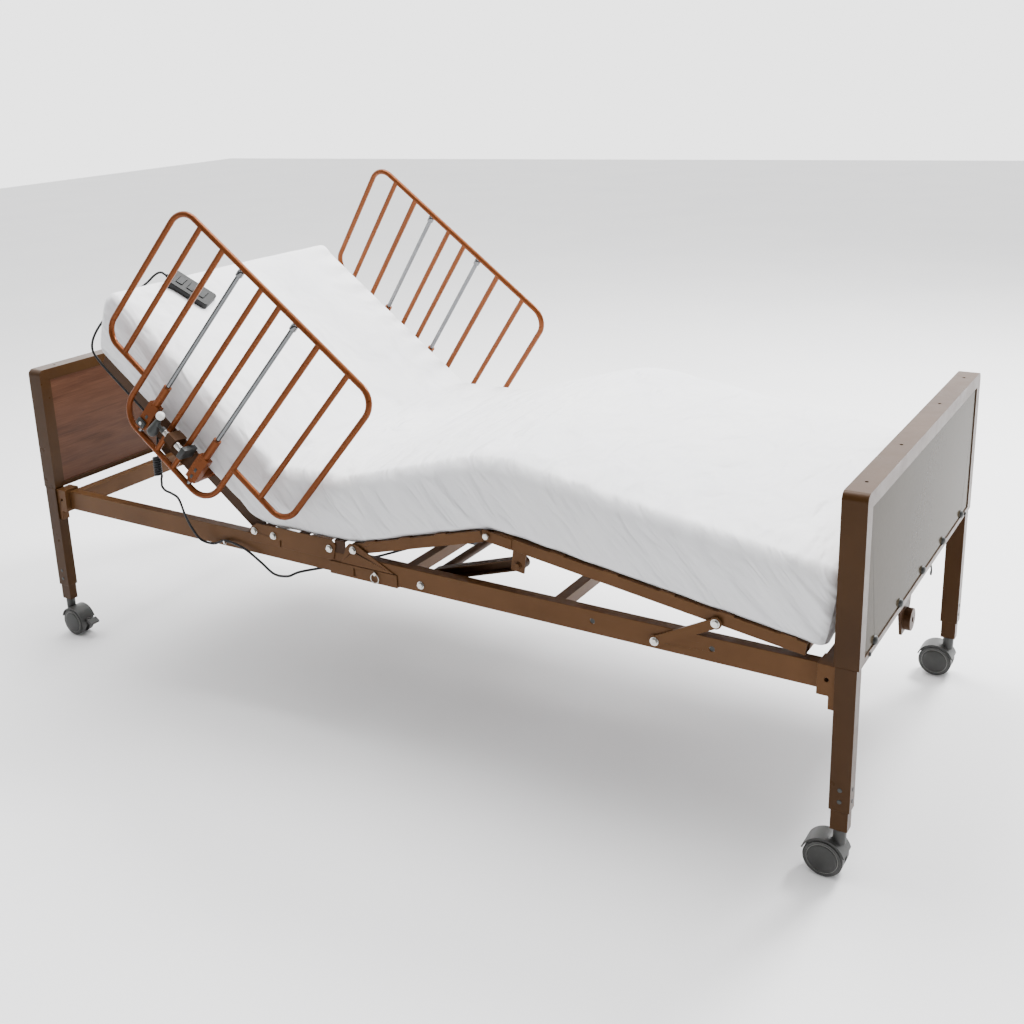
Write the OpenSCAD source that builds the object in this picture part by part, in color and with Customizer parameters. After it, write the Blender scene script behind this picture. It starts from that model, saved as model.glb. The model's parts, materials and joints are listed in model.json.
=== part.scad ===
// Adjustable home-care bed: two bed ends on telescopic legs, a spring frame in two halves, four
// deck sections (back, seat, thigh, foot), two lift mechanisms, half-length side rails and a pendant.
// +X points to the foot end, -Y is the near side, +Z is up, and the floor is z = 0.
// The pose is the resting one: back raised, knees a little raised, side rails up.

/* [Overall] */
// Length over the outer faces of the bed ends
bed_l = 2180; // [2150:10:2240]
// Width over the bed ends
bed_w = 914; // [900:2:930]
// Height of the top of the bed ends
end_top_z = 758; // [750:1:775]
// Depth of a bed end, front to back
end_d = 45; // [44:1:48]
// Height of the lower edge of the bed-end frames
end_bottom_z = 430; // [428:1:434]

/* [Legs and casters] */
// Leg sleeve size along the bed
leg_d = 38; // [38:1:40]
// Leg sleeve size across the bed
leg_w = 30; // [30:1:32]
// Height of the lower end of the leg sleeves
sleeve_bottom_z = 142; // [135:1:150]
// Height of the lower end of the inner legs
leg_bottom_z = 100; // [100:1:104]
// Wheel diameter
wheel_dia = 75; // [72:1:75]
// Distance from the swivel axis back to the wheel axle
caster_trail = 24; // [22:1:26]

/* [Frame] */
// Height of the top of the side rails
rail_top_z = 421; // [419:1:422]
// Height of a side rail section
rail_h = 50; // [46:1:52]
// Width of a side rail section
rail_t = 25; // [22:1:26]
// Distance from the centre line to the outer face of a side rail
rail_y = 437; // [436:1:438]

/* [Deck] */
// Angle of the back section above the flat
back_angle = 37.5; // [30:0.5:40]
// Angle of the thigh section above the flat
thigh_angle = 15.5; // [15:0.5:16]
// Angle of the foot section below the flat
foot_angle = 8.2; // [7.8:0.1:8.4]
// Distance between the thigh pivot and the knee hinge
thigh_l = 371; // [366:1:372]
// Distance from the knee hinge to the end of the foot section
foot_l = 680; // [670:1:684]
// Length of the back section
back_l = 622; // [600:1:630]

/* [Mattress] */
// Mattress thickness
mattress_t = 150; // [140:2:152]
// Mattress width
mattress_w = 868; // [860:2:870]

/* [Side rails] */
// Length of a half-length side rail
guard_l = 676; // [660:2:680]
// Height of a side rail between tube centres
guard_h = 392; // [380:2:396]
// Radius of the side rail tube
guard_r = 7.5; // [7:0.5:8]
// Inward lean of the side rails
guard_lean = 10; // [8:0.5:11]
// How much nearer the head end the far side rail is clamped
far_rail_shift = 30; // [20:2:34]
// Radius of the chrome guide posts
post_r = 6; // [5.5:0.5:6]

/* [Handset] */
// Handset length
handset_l = 124; // [116:2:130]
// Handset width
handset_w = 68; // [60:2:72]
// Handset thickness
handset_t = 22; // [20:1:24]

/* [Hidden] */
// Every curved surface is drawn with this many sides
$fn = 64;
// A cut reaches this far past the solid it opens
cut = 1;
// Wall of the formed steel sections
wall = 3;
// Radial clearance of a pivot hole on its bolt
fit = 0.05;
bolt_r = 5;
bolt_head_r = 9;
bolt_head_t = 4;

// Bed ends and legs
end_outer_x = bed_l / 2;
end_inner_x = end_outer_x - end_d;
leg_x = end_outer_x - end_d / 2;
leg_y = bed_w / 2 - leg_w / 2;
leg_clear = 0.5;
inner_leg_d = leg_d - 2 * 2.5 - 2 * leg_clear;
inner_leg_w = leg_w - 2 * 2.5 - 2 * leg_clear;
inner_leg_top_z = 415;
end_side_w = 32;
end_top_t = 30;
end_round_r = 15;

// Side rails of the spring frame
rail_bottom_z = rail_top_z - rail_h;
rail_inner_y = rail_y - rail_t;
rail_end_x = end_inner_x - 30;
splice_x = 20;
plate_t = 3;

// Deck pivots
back_pivot_x = -340;
back_pivot_z = 430;
thigh_pivot_x = -41;
thigh_pivot_z = 437;
knee_x = thigh_pivot_x + thigh_l * cos(thigh_angle);
knee_z = thigh_pivot_z + thigh_l * sin(thigh_angle);
back_rail_y = 408;
tube = 25;
tube_half = tube / 2;
tube_wall = 2;
leg_rail_y = 435;
slat_t = 2.5;
// Height of the underside of the mattress above the pivots of each section
leg_deck = tube_half + slat_t + 1;
mattress_z = thigh_pivot_z + leg_deck;
back_deck_top = mattress_z - back_pivot_z;

// Knee mechanism
crank_x = 155;
crank_z = 400;
crank_pin_x = 371;
crank_pin_z = 468;
crank_l = norm([crank_pin_x - crank_x, crank_pin_z - crank_z]);
crank_angle = atan2(crank_pin_z - crank_z, crank_pin_x - crank_x);
crank_h = 26;
lever_l = 62;
link_low_x = 697;
link_low_z = 389;
link_top_x = 820;
link_top_z = 455;
link_l = norm([link_top_x - link_low_x, link_top_z - link_low_z]);
link_angle = atan2(link_top_z - link_low_z, link_top_x - link_low_x);
link_y = rail_y + 0.5;
link_t = 5;

// Lift motors and their push rods
motor_y = 70;
rod_r = 8;
back_horn_x = 61.5;
back_horn_z = -91;
back_rod_z = 330;
knee_rod_z = crank_z - lever_l;
horn_pin_x = back_pivot_x + back_horn_x * cos(back_angle) + back_horn_z * sin(back_angle);

// Side rail plane, given in the back section's own frame
guard_x = -602;
guard_y = 472;
guard_z = 118;
guard_bars = [75, 293, 355, 585];
post_x = [226, 413];
loop_left = 156;
loop_right = 487;
loop_drop = 125;
loop_r = 60;
corner_r = 48;

// Handset, placed on the back section's mattress
handset_at = [-612, -205, back_deck_top + mattress_t + 0.5];
handset_turn = 22;
rocker_pitch = 32;

// Pendant cord: out of the control box, through the hook on the near rail, up through the coil,
// round the head end of the mattress and over its edge to the handset
cord_r = 3;
coil_r = 8;
coil_x = -606;
coil_y = -474;
coil_z = 528;
coil_h = 70;
lead_points = [[-10, -64, 350], [-10, -74, 350], [-10, -84, 350], [-50, -180, 351], [-105, -300, 352],
    [-160, -390, 354], [-205, -440, 351], [-235, -452, 338], [-277, -453, 336], [-318, -452, 358],
    [-372, -449, 382], [-434, -446, 389], [-472, -450, 376], [-504, -460, 384], [-522, -468, 412],
    [-537, -473, 448], [-551, -475, 488], [-574, -475, 499], [-596, -474, 503], [-606, -474, 512],
    [-606, -474, 520], [-606, -474, 528]];
tail_points = [[-606, -474, 598], [-606, -474, 608], [-606, -474, 617], [-611.8, -466, 631],
    [-627.4, -452, 646.8], [-651.2, -440, 665], [-698.8, -436, 701.6], [-770.2, -436, 756.4],
    [-823.9, -437, 801.3], [-846.8, -436, 834], [-843.4, -420, 873], [-830.9, -380, 913.8],
    [-815.9, -320, 946.5], [-803.2, -270, 974.5], [-795.3, -251, 989.8], [-784.2, -243.5, 997.7],
    [-777.2, -237.6, 998], [-772.1, -235, 994.1], [-766.9, -232.3, 990.1]];

// ---------------------------------------------------------------- frames of reference

module near_and_far() {
    children();
    mirror([0, 1, 0]) children();
}

module back_place() {
    translate([back_pivot_x, 0, back_pivot_z]) rotate([0, back_angle, 0]) children();
}

module thigh_place() {
    translate([thigh_pivot_x, 0, thigh_pivot_z]) rotate([0, -thigh_angle, 0]) children();
}

module foot_place() {
    translate([knee_x, 0, knee_z]) rotate([0, foot_angle, 0]) children();
}

// The plane of the near side rail: x runs to the foot, z up the bars, origin at the lower head corner
module guard_place() {
    back_place() translate([guard_x, -guard_y, guard_z]) rotate([-guard_lean, 0, 0]) children();
}

// The far side rail: the near one mirrored, and clamped nearer the head end
module far_rail() {
    mirror([0, 1, 0])
        translate([-far_rail_shift * cos(back_angle), 0, far_rail_shift * sin(back_angle)]) children();
}

// ---------------------------------------------------------------- shared shapes

module block(x0, x1, y0, y1, z0, z1) {
    translate([x0, y0, z0]) cube([x1 - x0, y1 - y0, z1 - z0]);
}

// A rod along Y
module rod_y(x, z, y0, y1, r) {
    translate([x, y0, z]) rotate([-90, 0, 0]) cylinder(h = y1 - y0, r = r);
}

// A rod in the XZ plane between two points
module rod(a, b, r) {
    d = b - a;
    translate([a[0], 0, a[1]]) rotate([0, atan2(d[0], d[1]), 0]) cylinder(h = norm(d), r = r);
}

// A bend in the XZ plane: a part of a torus about c, from angle a0 turning by sweep
module bend(c, a0, sweep, big_r, r) {
    translate([c[0], 0, c[1]]) rotate([90, 0, 0]) rotate([0, 0, a0])
        rotate_extrude(angle = sweep) translate([big_r, 0]) circle(r = r);
}

// A hexagon bolt head with its washer, pointing to -Y from the face at y
module bolt_head(x, z, y) {
    rod_y(x, z, y - 1.5, y, bolt_head_r);
    translate([x, y - 1.5, z]) rotate([90, 0, 0]) cylinder(h = bolt_head_t, r = 7, $fn = 6);
}

// An outline in the XZ plane given a thickness along Y
module plate_xz(y0, y1, points) {
    translate([0, y1, 0]) rotate([90, 0, 0]) linear_extrude(height = y1 - y0) polygon(points);
}

// A tube of straight pieces with mitred joints, swept along a list of points
function unit(v) = v / norm(v);
function tangent(p, i) =
    unit(i == 0 ? p[1] - p[0] : i == len(p) - 1 ? p[i] - p[i - 1] :
        unit(p[i + 1] - p[i]) + unit(p[i] - p[i - 1]));
function side_of(t) = unit(cross(t, abs(t[2]) < 0.9 ? [0, 0, 1] : [1, 0, 0]));
function ring(p, i, r, n) =
    let (t = tangent(p, i), u = side_of(t), v = cross(t, u))
    [for (k = [0 : n - 1]) p[i] + r * (cos(360 * k / n) * u + sin(360 * k / n) * v)];
// Points between the route's own, on a smooth curve through them
function smooth_at(p, i, f) =
    let (a = p[max(i - 1, 0)], b = p[i], c = p[i + 1], d = p[min(i + 2, len(p) - 1)])
    0.5 * (2 * b + (c - a) * f + (2 * a - 5 * b + 4 * c - d) * f * f + (3 * b - a - 3 * c + d) * f * f * f);
function smooth(p, steps) =
    concat([for (i = [0 : len(p) - 2]) for (k = [0 : steps - 1]) smooth_at(p, i, k / steps)],
        [p[len(p) - 1]]);

module cord_tube(route, r, sides) {
    p = smooth(route, 2);
    n = len(p);
    points = [for (i = [0 : n - 1]) each ring(p, i, r, sides)];
    walls = [for (i = [0 : n - 2]) for (k = [0 : sides - 1])
        [i * sides + k, i * sides + (k + 1) % sides, (i + 1) * sides + (k + 1) % sides, (i + 1) * sides + k]];
    first = [for (k = [sides - 1 : -1 : 0]) k];
    last = [for (k = [0 : sides - 1]) (n - 1) * sides + k];
    polyhedron(points = points, faces = concat([first], walls, [last]), convexity = 10);
}

// ---------------------------------------------------------------- bed ends

// Outline of a bed end seen along X: Y across, Z up, with rounded upper corners
module end_outline() {
    hull() {
        for (y = [-1, 1])
            translate([y * (bed_w / 2 - end_round_r), end_top_z - end_round_r]) circle(r = end_round_r);
        translate([-bed_w / 2, end_bottom_z]) square([bed_w, 1]);
    }
}

module end_frame() {
    inner_w = bed_w / 2 - end_side_w;
    slot_r = 3.5;
    color("#8a6a45") difference() {
        translate([end_inner_x, 0, 0]) rotate([90, 0, 90]) linear_extrude(height = end_d) end_outline();
        block(end_inner_x - cut, end_outer_x + cut, -inner_w, inner_w,
            end_bottom_z + 12, end_top_z - end_top_t);
        block(end_inner_x + 10, end_outer_x - 10, -inner_w, inner_w, end_bottom_z - cut, end_bottom_z + 13);
        for (side = [-1, 1])
            block(leg_x - inner_leg_d / 2 - leg_clear, leg_x + inner_leg_d / 2 + leg_clear,
                side * leg_y - inner_leg_w / 2 - leg_clear, side * leg_y + inner_leg_w / 2 + leg_clear,
                end_bottom_z - cut, 640);
        for (y = [-388, -155, 155, 388])
            translate([leg_x, y, end_top_z - end_top_t - cut]) cylinder(h = end_top_t + 2 * cut, r = slot_r);
    }
}

module head_end_frame() { mirror([1, 0, 0]) end_frame(); }
module foot_end_frame() { end_frame(); }

module both_ends() {
    children();
    mirror([1, 0, 0]) children();
}

module inner_panels() {
    half = bed_w / 2 - end_side_w;
    color("#6b4630") both_ends()
        block(end_inner_x + 3, end_inner_x + 9, -half, half, end_bottom_z + 12, end_top_z - end_top_t);
}

// The laminates on the outer faces, with half-moon notches along their lower edges
module outer_panels() {
    half = bed_w / 2 - end_side_w;
    color("#9c8f7a") both_ends() difference() {
        block(end_outer_x - 8, end_outer_x - 2, -half, half, end_bottom_z + 12, end_top_z - end_top_t);
        for (y = [-356, -178, 0, 178, 356])
            translate([end_outer_x - 8 - cut, y, end_bottom_z + 12]) rotate([0, 90, 0])
                cylinder(h = 6 + 2 * cut, r = 9);
    }
}

module each_leg() {
    for (x = [-leg_x, leg_x]) for (y = [-leg_y, leg_y]) translate([x, y, 0]) children();
}

module leg_sleeves() {
    color("#6e5138") each_leg() difference() {
        block(-leg_d / 2, leg_d / 2, -leg_w / 2, leg_w / 2, sleeve_bottom_z, end_bottom_z);
        block(-inner_leg_d / 2 - leg_clear, inner_leg_d / 2 + leg_clear,
            -inner_leg_w / 2 - leg_clear, inner_leg_w / 2 + leg_clear,
            sleeve_bottom_z - cut, end_bottom_z + cut);
    }
}

// The hooked castings that hang the spring frame on the legs
module corner_castings() {
    casting_x = leg_x - leg_d / 2;
    color("#7a5a3c") both_ends() near_and_far() difference() {
        union() {
            block(rail_end_x, casting_x, -leg_y - 10, -rail_inner_y + 6, 366, 427);
            block(casting_x - 12, casting_x, -leg_y - 10, -leg_y + 12, 340, 366);
        }
        translate([casting_x - 16, -leg_y - 20, 398]) rotate([-90, 0, 0]) cylinder(h = 80, r = 4);
    }
}

// ---------------------------------------------------------------- spring frame

// A side rail: a box section, open to the inside, that runs from x0 to x1
module side_rail(x0, x1) {
    difference() {
        block(x0, x1, -rail_y, -rail_inner_y, rail_bottom_z, rail_top_z);
        block(x0 - cut, x1 + cut, -rail_y + wall, -rail_inner_y + cut,
            rail_bottom_z + wall, rail_top_z - wall);
    }
}

module side_rails_head() {
    color("#7d5f40") near_and_far() side_rail(-rail_end_x, splice_x);
}

module side_rails_foot() {
    color("#7d5f40") near_and_far() difference() {
        side_rail(splice_x, rail_end_x);
        for (x = [560, 812]) rod_y(x, 398, -rail_y - cut, -rail_inner_y, 5.5);
        rod_y(link_low_x, link_low_z, -rail_y - cut, -rail_inner_y, bolt_r);
    }
}

// A box tube across the bed, from -y to y
module cross_tube(x, z, y) {
    difference() {
        block(x, x + tube, -y, y, z, z + tube);
        block(x + tube_wall, x + tube - tube_wall, -y - cut, y + cut, z + tube_wall, z + tube - tube_wall);
    }
}

// The cross members of the frame, the drive plate under the seat and the knee shaft's bearings
module cross_rails() {
    half = rail_inner_y;
    tube_z = rail_bottom_z + wall;
    color("#a98457") {
        block(-rail_end_x, -rail_end_x + 6, -half, half, rail_bottom_z, rail_top_z);
        block(-rail_end_x + 6, -rail_end_x + tube, -half, half, rail_top_z - wall, rail_top_z);
        block(rail_end_x - 6, rail_end_x, -half, half, rail_bottom_z, rail_bottom_z + 26);
        block(rail_end_x - tube, rail_end_x - 6, -half, half, rail_bottom_z, rail_bottom_z + wall);
        for (x = [-250, 60, 440]) cross_tube(x, tube_z, rail_y - wall);
        near_and_far() difference() {
            block(crank_x - 17, crank_x + 17, -rail_y + wall, -rail_inner_y + 3, tube_z, rail_top_z - wall);
            rod_y(crank_x, crank_z, -425, -rail_inner_y + 3 + cut, 6 + fit);
        }
    }
}

// The sleeves that join the two halves of the frame, with their latch slot
module splice_sleeves() {
    color("#866747") near_and_far() difference() {
        union() {
            block(-112, 78, -rail_y - plate_t, -rail_y, rail_bottom_z - plate_t, 399);
            block(-112, 78, -rail_y, -rail_inner_y, rail_bottom_z - plate_t, rail_bottom_z);
        }
        block(-44, -37, -rail_y - plate_t - cut, -rail_y + cut, 374, 392);
        rod_y(19, 392, -rail_y - plate_t - cut, -rail_y + cut, 4);
    }
}

// The quick-release pins and their wire rings
module quick_pins() {
    ring_r = 11;
    color("#b9b4aa") near_and_far() {
        rod_y(19, 392, -rail_y - plate_t - 5, -rail_y, 4);
        translate([19, -rail_y - plate_t - 4, 392 - ring_r]) rotate([90, 0, 0])
            rotate_extrude() translate([ring_r, 0]) circle(r = 1.2, $fn = 24);
    }
}

// The plates that carry the pivots of the back and the thighs, and the plate that carries the motors
module pivot_plates() {
    top = mattress_z - 2;
    tube_z = rail_bottom_z + wall;
    color("#866747") {
        near_and_far() difference() {
            union() {
                plate_xz(-rail_y - plate_t, -rail_y, [[-356, 402], [-100, 402], [-92, 440], [-104, top],
                    [-330, top], [-350, 440], [-356, 430]]);
                plate_xz(-rail_y - plate_t, -rail_y,
                    [[-78, 400], [72, 400], [-20, 446], [-30, top], [-52, top], [-62, 440]]);
            }
            block(-262, -254, -rail_y - plate_t - cut, -rail_y + cut, 399, 420);
            rod_y(back_pivot_x, back_pivot_z, -rail_y - 10, -rail_y + cut, bolt_r);
            rod_y(thigh_pivot_x, thigh_pivot_z, -rail_y - 10, -rail_y + cut, bolt_r);
        }
        block(-250, 60 + tube, -104, 104, tube_z - 4, tube_z);
    }
}

// The pivot bolts of the back, the thighs and the foot links, and the frame bolts, on both sides
module frame_bolts() {
    outer = -rail_y - plate_t;
    link_outer = -link_y - link_t - 0.3;
    color("#c9c6bf") near_and_far() {
        bolt_head(back_pivot_x, back_pivot_z, outer);
        rod_y(back_pivot_x, back_pivot_z, outer, -back_rail_y + 8, bolt_r);
        bolt_head(thigh_pivot_x, thigh_pivot_z, outer);
        rod_y(thigh_pivot_x, thigh_pivot_z, outer, -leg_rail_y + tube + 2, bolt_r);
        bolt_head(link_low_x, link_low_z, link_outer);
        rod_y(link_low_x, link_low_z, link_outer, -rail_y + wall, bolt_r);
        bolt_head(141, 388, -rail_y);
        bolt_head(-280, 428, outer);
        bolt_head(-110, 428, outer);
    }
}

// Slats of the fixed seat, on their standing legs
module seat_deck() {
    top = mattress_z - 1;
    color("#5f4a36") for (x = [-306, -200, -96]) {
        block(x, x + 30, -rail_y, rail_y, top - slat_t, top);
        near_and_far() block(x, x + 30, -rail_y, -rail_y + wall, rail_top_z, top - slat_t);
    }
}

// The chrome hook on the near rail that guides the pendant cord, and its twin on the far rail
module cable_hooks() {
    hook_r = 7;
    wire_r = 2;
    color("#d5d3ce") near_and_far() translate([-434, -rail_y - hook_r - wire_r, 389]) {
        rotate([90, 0, 90]) rotate([0, 0, 160]) rotate_extrude(angle = 200)
            translate([hook_r, 0]) circle(r = wire_r, $fn = 24);
        translate([0, 0, -hook_r]) rotate([-90, 0, 0])
            cylinder(h = hook_r + wire_r, r = wire_r, $fn = 24);
    }
}

// ---------------------------------------------------------------- drives

// The flanged gear housings that drive the legs, hung under each bed end
module gear_housing(drop) {
    color("#5b4430") difference() {
        union() {
            translate([end_inner_x + 10, 0, 0]) rotate([90, 0, 90]) linear_extrude(height = 6)
                polygon([[-70, end_bottom_z + 12], [70, end_bottom_z + 12], [22, end_bottom_z - drop],
                    [-22, end_bottom_z - drop]]);
            translate([end_inner_x + 16, 0, end_bottom_z - drop + 30]) rotate([0, 90, 0])
                cylinder(h = 15, r = 24);
        }
        translate([end_inner_x, 0, end_bottom_z - drop + 30]) rotate([0, 90, 0]) cylinder(h = 60, r = 6);
    }
}

module head_gear_housing() { mirror([1, 0, 0]) gear_housing(56); }
module foot_gear_housing() { gear_housing(126); }

// A lift motor under the drive plate: a gear case on the push rod's line and a round motor beside it
module lift_motor(rod_z, side) {
    top = rail_bottom_z + wall - 4;
    difference() {
        union() {
            block(-200, -110, -34, 34, rod_z - 15, top);
            translate([-155, side * 34, rod_z + 12]) rotate([-90 * side, 0, 0]) cylinder(h = 74, r = 25);
        }
        translate([-200 - cut, 0, rod_z]) rotate([0, 90, 0]) cylinder(h = 90 + 2 * cut, r = rod_r + 0.5);
    }
}

module lift_motors() {
    color("#3a3a3c") {
        translate([0, -motor_y, 0]) lift_motor(back_rod_z, -1);
        translate([0, motor_y, 0]) lift_motor(knee_rod_z, 1);
    }
}

// The control box, with the cord's gland on its near side and the mains inlet in its foot side
module control_box() {
    top = rail_bottom_z + wall - 4;
    color("#2f2f31") difference() {
        union() {
            block(-70, 40, -60, 60, 326, top);
            translate([-10, -60, 350]) rotate([90, 0, 0]) cylinder(h = 4, r = 7);
        }
        block(28, 40 + cut, -14, 14, 336, 358);
    }
}

// The rod that pushes the horn of the back section, with a tall slot for the horn's pin
module back_push_rod() {
    slot_h = 40;
    neck_l = 34;
    color("#b8b4ac") difference() {
        union() {
            translate([horn_pin_x + neck_l, -motor_y, back_rod_z]) rotate([0, 90, 0])
                cylinder(h = -112 - horn_pin_x - neck_l, r = rod_r);
            block(horn_pin_x, horn_pin_x + neck_l + 2, -motor_y - 4, -motor_y + 4, back_rod_z - 6, back_rod_z + 6);
            block(horn_pin_x - 14, horn_pin_x + 14, -motor_y - 4, -motor_y + 4,
                back_rod_z - 26, back_rod_z + 26);
        }
        block(horn_pin_x - 8, horn_pin_x + 8, -motor_y - 10, -motor_y + 10,
            back_rod_z - slot_h / 2, back_rod_z + slot_h / 2);
    }
}

// The rod that pushes the levers of the knee shaft
module knee_push_rod() {
    slot_h = 26;
    color("#b8b4ac") difference() {
        union() {
            translate([-198, motor_y, knee_rod_z]) rotate([0, 90, 0]) cylinder(h = crank_x + 198, r = rod_r);
            block(crank_x - 14, crank_x + 14, motor_y - 4, motor_y + 4, knee_rod_z - 19, knee_rod_z + 19);
        }
        block(crank_x - 7, crank_x + 7, motor_y - 10, motor_y + 10,
            knee_rod_z - slot_h / 2, knee_rod_z + slot_h / 2);
    }
}

module mattress_seat() {
    half = mattress_w / 2;
    back_start = back_pivot_x + 20;
    thigh_start = thigh_pivot_x - 8;
    color("#f1f1f2") plate_xz(-half, half,
        [[back_start, mattress_z], [thigh_start, mattress_z],
        [thigh_start - mattress_t * tan(16), mattress_z + mattress_t],
        [back_start + mattress_t * tan(35), mattress_z + mattress_t]]);
}

// ---------------------------------------------------------------- legs and casters

module inner_leg() {
    difference() {
        block(-inner_leg_d / 2, inner_leg_d / 2, -inner_leg_w / 2, inner_leg_w / 2,
            leg_bottom_z, inner_leg_top_z);
        block(-inner_leg_d / 2 + 2, inner_leg_d / 2 - 2, -inner_leg_w / 2 + 2, inner_leg_w / 2 - 2,
            leg_bottom_z + 40, inner_leg_top_z + cut);
        translate([0, 0, leg_bottom_z - cut]) cylinder(h = 36 + cut, r = 5 + fit);
    }
}

module leg_at(sx, sy) { translate([sx * leg_x, sy * leg_y, 0]) children(); }

// The head casters stand turned round, with their wheels towards the middle of the bed
module head_turn() { rotate([0, 0, 180]) children(); }

module inner_leg_hn() { color("#7a5a3c") leg_at(-1, -1) inner_leg(); }
module inner_leg_hf() { color("#7a5a3c") leg_at(-1, 1) inner_leg(); }
module inner_leg_fn() { color("#7a5a3c") leg_at(1, -1) inner_leg(); }
module inner_leg_ff() { color("#7a5a3c") leg_at(1, 1) inner_leg(); }

wheel_r = wheel_dia / 2;
web_half = 5;
hood_half = 23;
hood_r = wheel_r + 4.5;

// The brake's pivot, behind the wheels
brake_x = -caster_trail - 44;
brake_z = wheel_r + 10;

// The swivelling body of a twin-wheel caster: stem, boss, hood, the web between the wheels, brake lug
module caster_fork(with_lug) {
    boss_z = wheel_r + hood_r - 10;
    stem_z = leg_bottom_z - 2;
    difference() {
        union() {
            translate([0, 0, stem_z]) cylinder(h = 36, r = 5);
            translate([0, 0, boss_z]) cylinder(h = leg_bottom_z - 1 - boss_z, r = 12);
            rod_y(-caster_trail, wheel_r, -web_half, web_half, 30);
            intersection() {
                rod_y(-caster_trail, wheel_r, -hood_half, hood_half, hood_r);
                block(-caster_trail - 60, -caster_trail + 60, -40, 40, wheel_r + 12, 100);
            }
            if (with_lug) block(brake_x - 5, brake_x + 20, -4, 4, brake_z - 5, brake_z + 5);
        }
        for (y = [-hood_half - cut, web_half])
            rod_y(-caster_trail, wheel_r, y, y + hood_half - web_half + cut, wheel_r + 1.5);
        rod_y(-caster_trail, wheel_r, -60, 60, 4 + fit);
        if (with_lug) rod_y(brake_x, brake_z, -10, 10, 2.5 + fit);
    }
}

// The twin wheels on their axle
module caster_wheels() {
    translate([-caster_trail, 0, wheel_r]) rotate([-90, 0, 0]) {
        translate([0, 0, -8]) cylinder(h = 16, r = 4);
        for (side = [0, 1]) mirror([0, 0, side]) translate([0, 0, 6.5]) difference() {
            union() {
                cylinder(h = 14, r = wheel_r);
                translate([0, 0, 14]) cylinder(h = 2.5, r = wheel_r - 3);
            }
            translate([0, 0, 15]) difference() {
                cylinder(h = 3, r = 26);
                translate([0, 0, -cut]) cylinder(h = 5, r = 10);
            }
        }
    }
}

module caster_fork_hn() { color("#4a4a4c") leg_at(-1, -1) head_turn() caster_fork(true); }
module caster_fork_hf() { color("#4a4a4c") leg_at(-1, 1) head_turn() caster_fork(true); }
module caster_fork_fn() { color("#4a4a4c") leg_at(1, -1) caster_fork(false); }
module caster_fork_ff() { color("#4a4a4c") leg_at(1, 1) caster_fork(false); }
module caster_wheels_hn() { color("#3c3c3e") leg_at(-1, -1) head_turn() caster_wheels(); }
module caster_wheels_hf() { color("#3c3c3e") leg_at(-1, 1) head_turn() caster_wheels(); }
module caster_wheels_fn() { color("#3c3c3e") leg_at(1, -1) caster_wheels(); }
module caster_wheels_ff() { color("#3c3c3e") leg_at(1, 1) caster_wheels(); }

// The foot brake of a head-end caster: two cheeks about the lug, a pin and a tread
module brake_lever() {
    translate([brake_x, 0, brake_z]) {
        near_and_far() plate_xz(-11, -4.5, [[-13, -4], [2, -5], [2.5, 4], [-13, 4]]);
        plate_xz(-14, 14, [[-24, -8], [-10, -5], [-8, 4], [-12, 6], [-25, -3]]);
        rod_y(0, 0, -11, 11, 2.5);
    }
}

module brake_lever_hn() { color("#38383a") leg_at(-1, -1) head_turn() brake_lever(); }
module brake_lever_hf() { color("#38383a") leg_at(-1, 1) head_turn() brake_lever(); }

// ---------------------------------------------------------------- back section

// A formed channel, open to the middle of the bed
module channel(x0, x1, y, z0, z1) {
    difference() {
        block(x0, x1, -y, -y + 20, z0, z1);
        block(x0 - cut, x1 + cut, -y + wall, -y + 20 + cut, z0 + wall, z1 - wall);
    }
}

module back_frame() {
    frame_top = back_deck_top - 1 - slat_t;
    horn_in = motor_y - 6;
    horn_out = motor_y + 6;
    color("#5f452f") back_place() {
        near_and_far() difference() {
            union() {
                channel(-back_l, 0, back_rail_y, -28, frame_top);
                block(0, 16, -back_rail_y, -back_rail_y + wall, -16, 14);
            }
            rod_y(0, 0, -back_rail_y - cut, -back_rail_y + wall + cut, bolt_r + fit);
        }
        for (x = [-back_l, -340, -110]) translate([0, 0, -14]) cross_tube(x, 0, back_rail_y - wall);
        // The lift horn under the first cross tube, and its pin
        for (y = [-horn_out - 6, -horn_in]) difference() {
            plate_xz(y, y + 6, [[-110, -14], [-85, -14], [back_horn_x + 8, back_horn_z + 10],
                [back_horn_x + 8, back_horn_z - 8], [back_horn_x - 8, back_horn_z - 10]]);
            rod_y(back_horn_x, back_horn_z, y - cut, y + 6 + cut, 5);
        }
        rod_y(back_horn_x, back_horn_z, -horn_out - 6, -horn_in + 6, 5);
    }
}

module back_deck() {
    top = back_deck_top - 1;
    pitch = (back_l - 42) / 6;
    color("#7c746a") back_place() for (i = [0 : 6])
        block(-back_l + 6 + i * pitch, -back_l + 36 + i * pitch, -back_rail_y, back_rail_y,
            top - slat_t, top);
}

// The guide sleeves of both side rails, the straps between them and the arms that carry them
module guard_mount() {
    guard_place() difference() {
        union() {
            for (x = post_x) {
                translate([x, 0, -110]) cylinder(h = 134, r = 10);
                block(x - 16, x + 16, -10, 10, -104, -34);
            }
            block(post_x[0], post_x[1], 10, 14, -104, -50);
            block(310, 338, -34, 10, -66, -42);
        }
        for (x = post_x) translate([x, 0, -112]) cylinder(h = 140, r = post_r + fit);
        translate([300, -24, -54]) rotate([0, 90, 0]) cylinder(h = 50, r = 4 + fit);
    }
    back_place() for (x = post_x)
        block(guard_x + x - 12, guard_x + x + 12, -481, -back_rail_y, 8, 20);
}

module guard_mounts() {
    color("#a06a41") {
        guard_mount();
        far_rail() guard_mount();
    }
}

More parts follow.
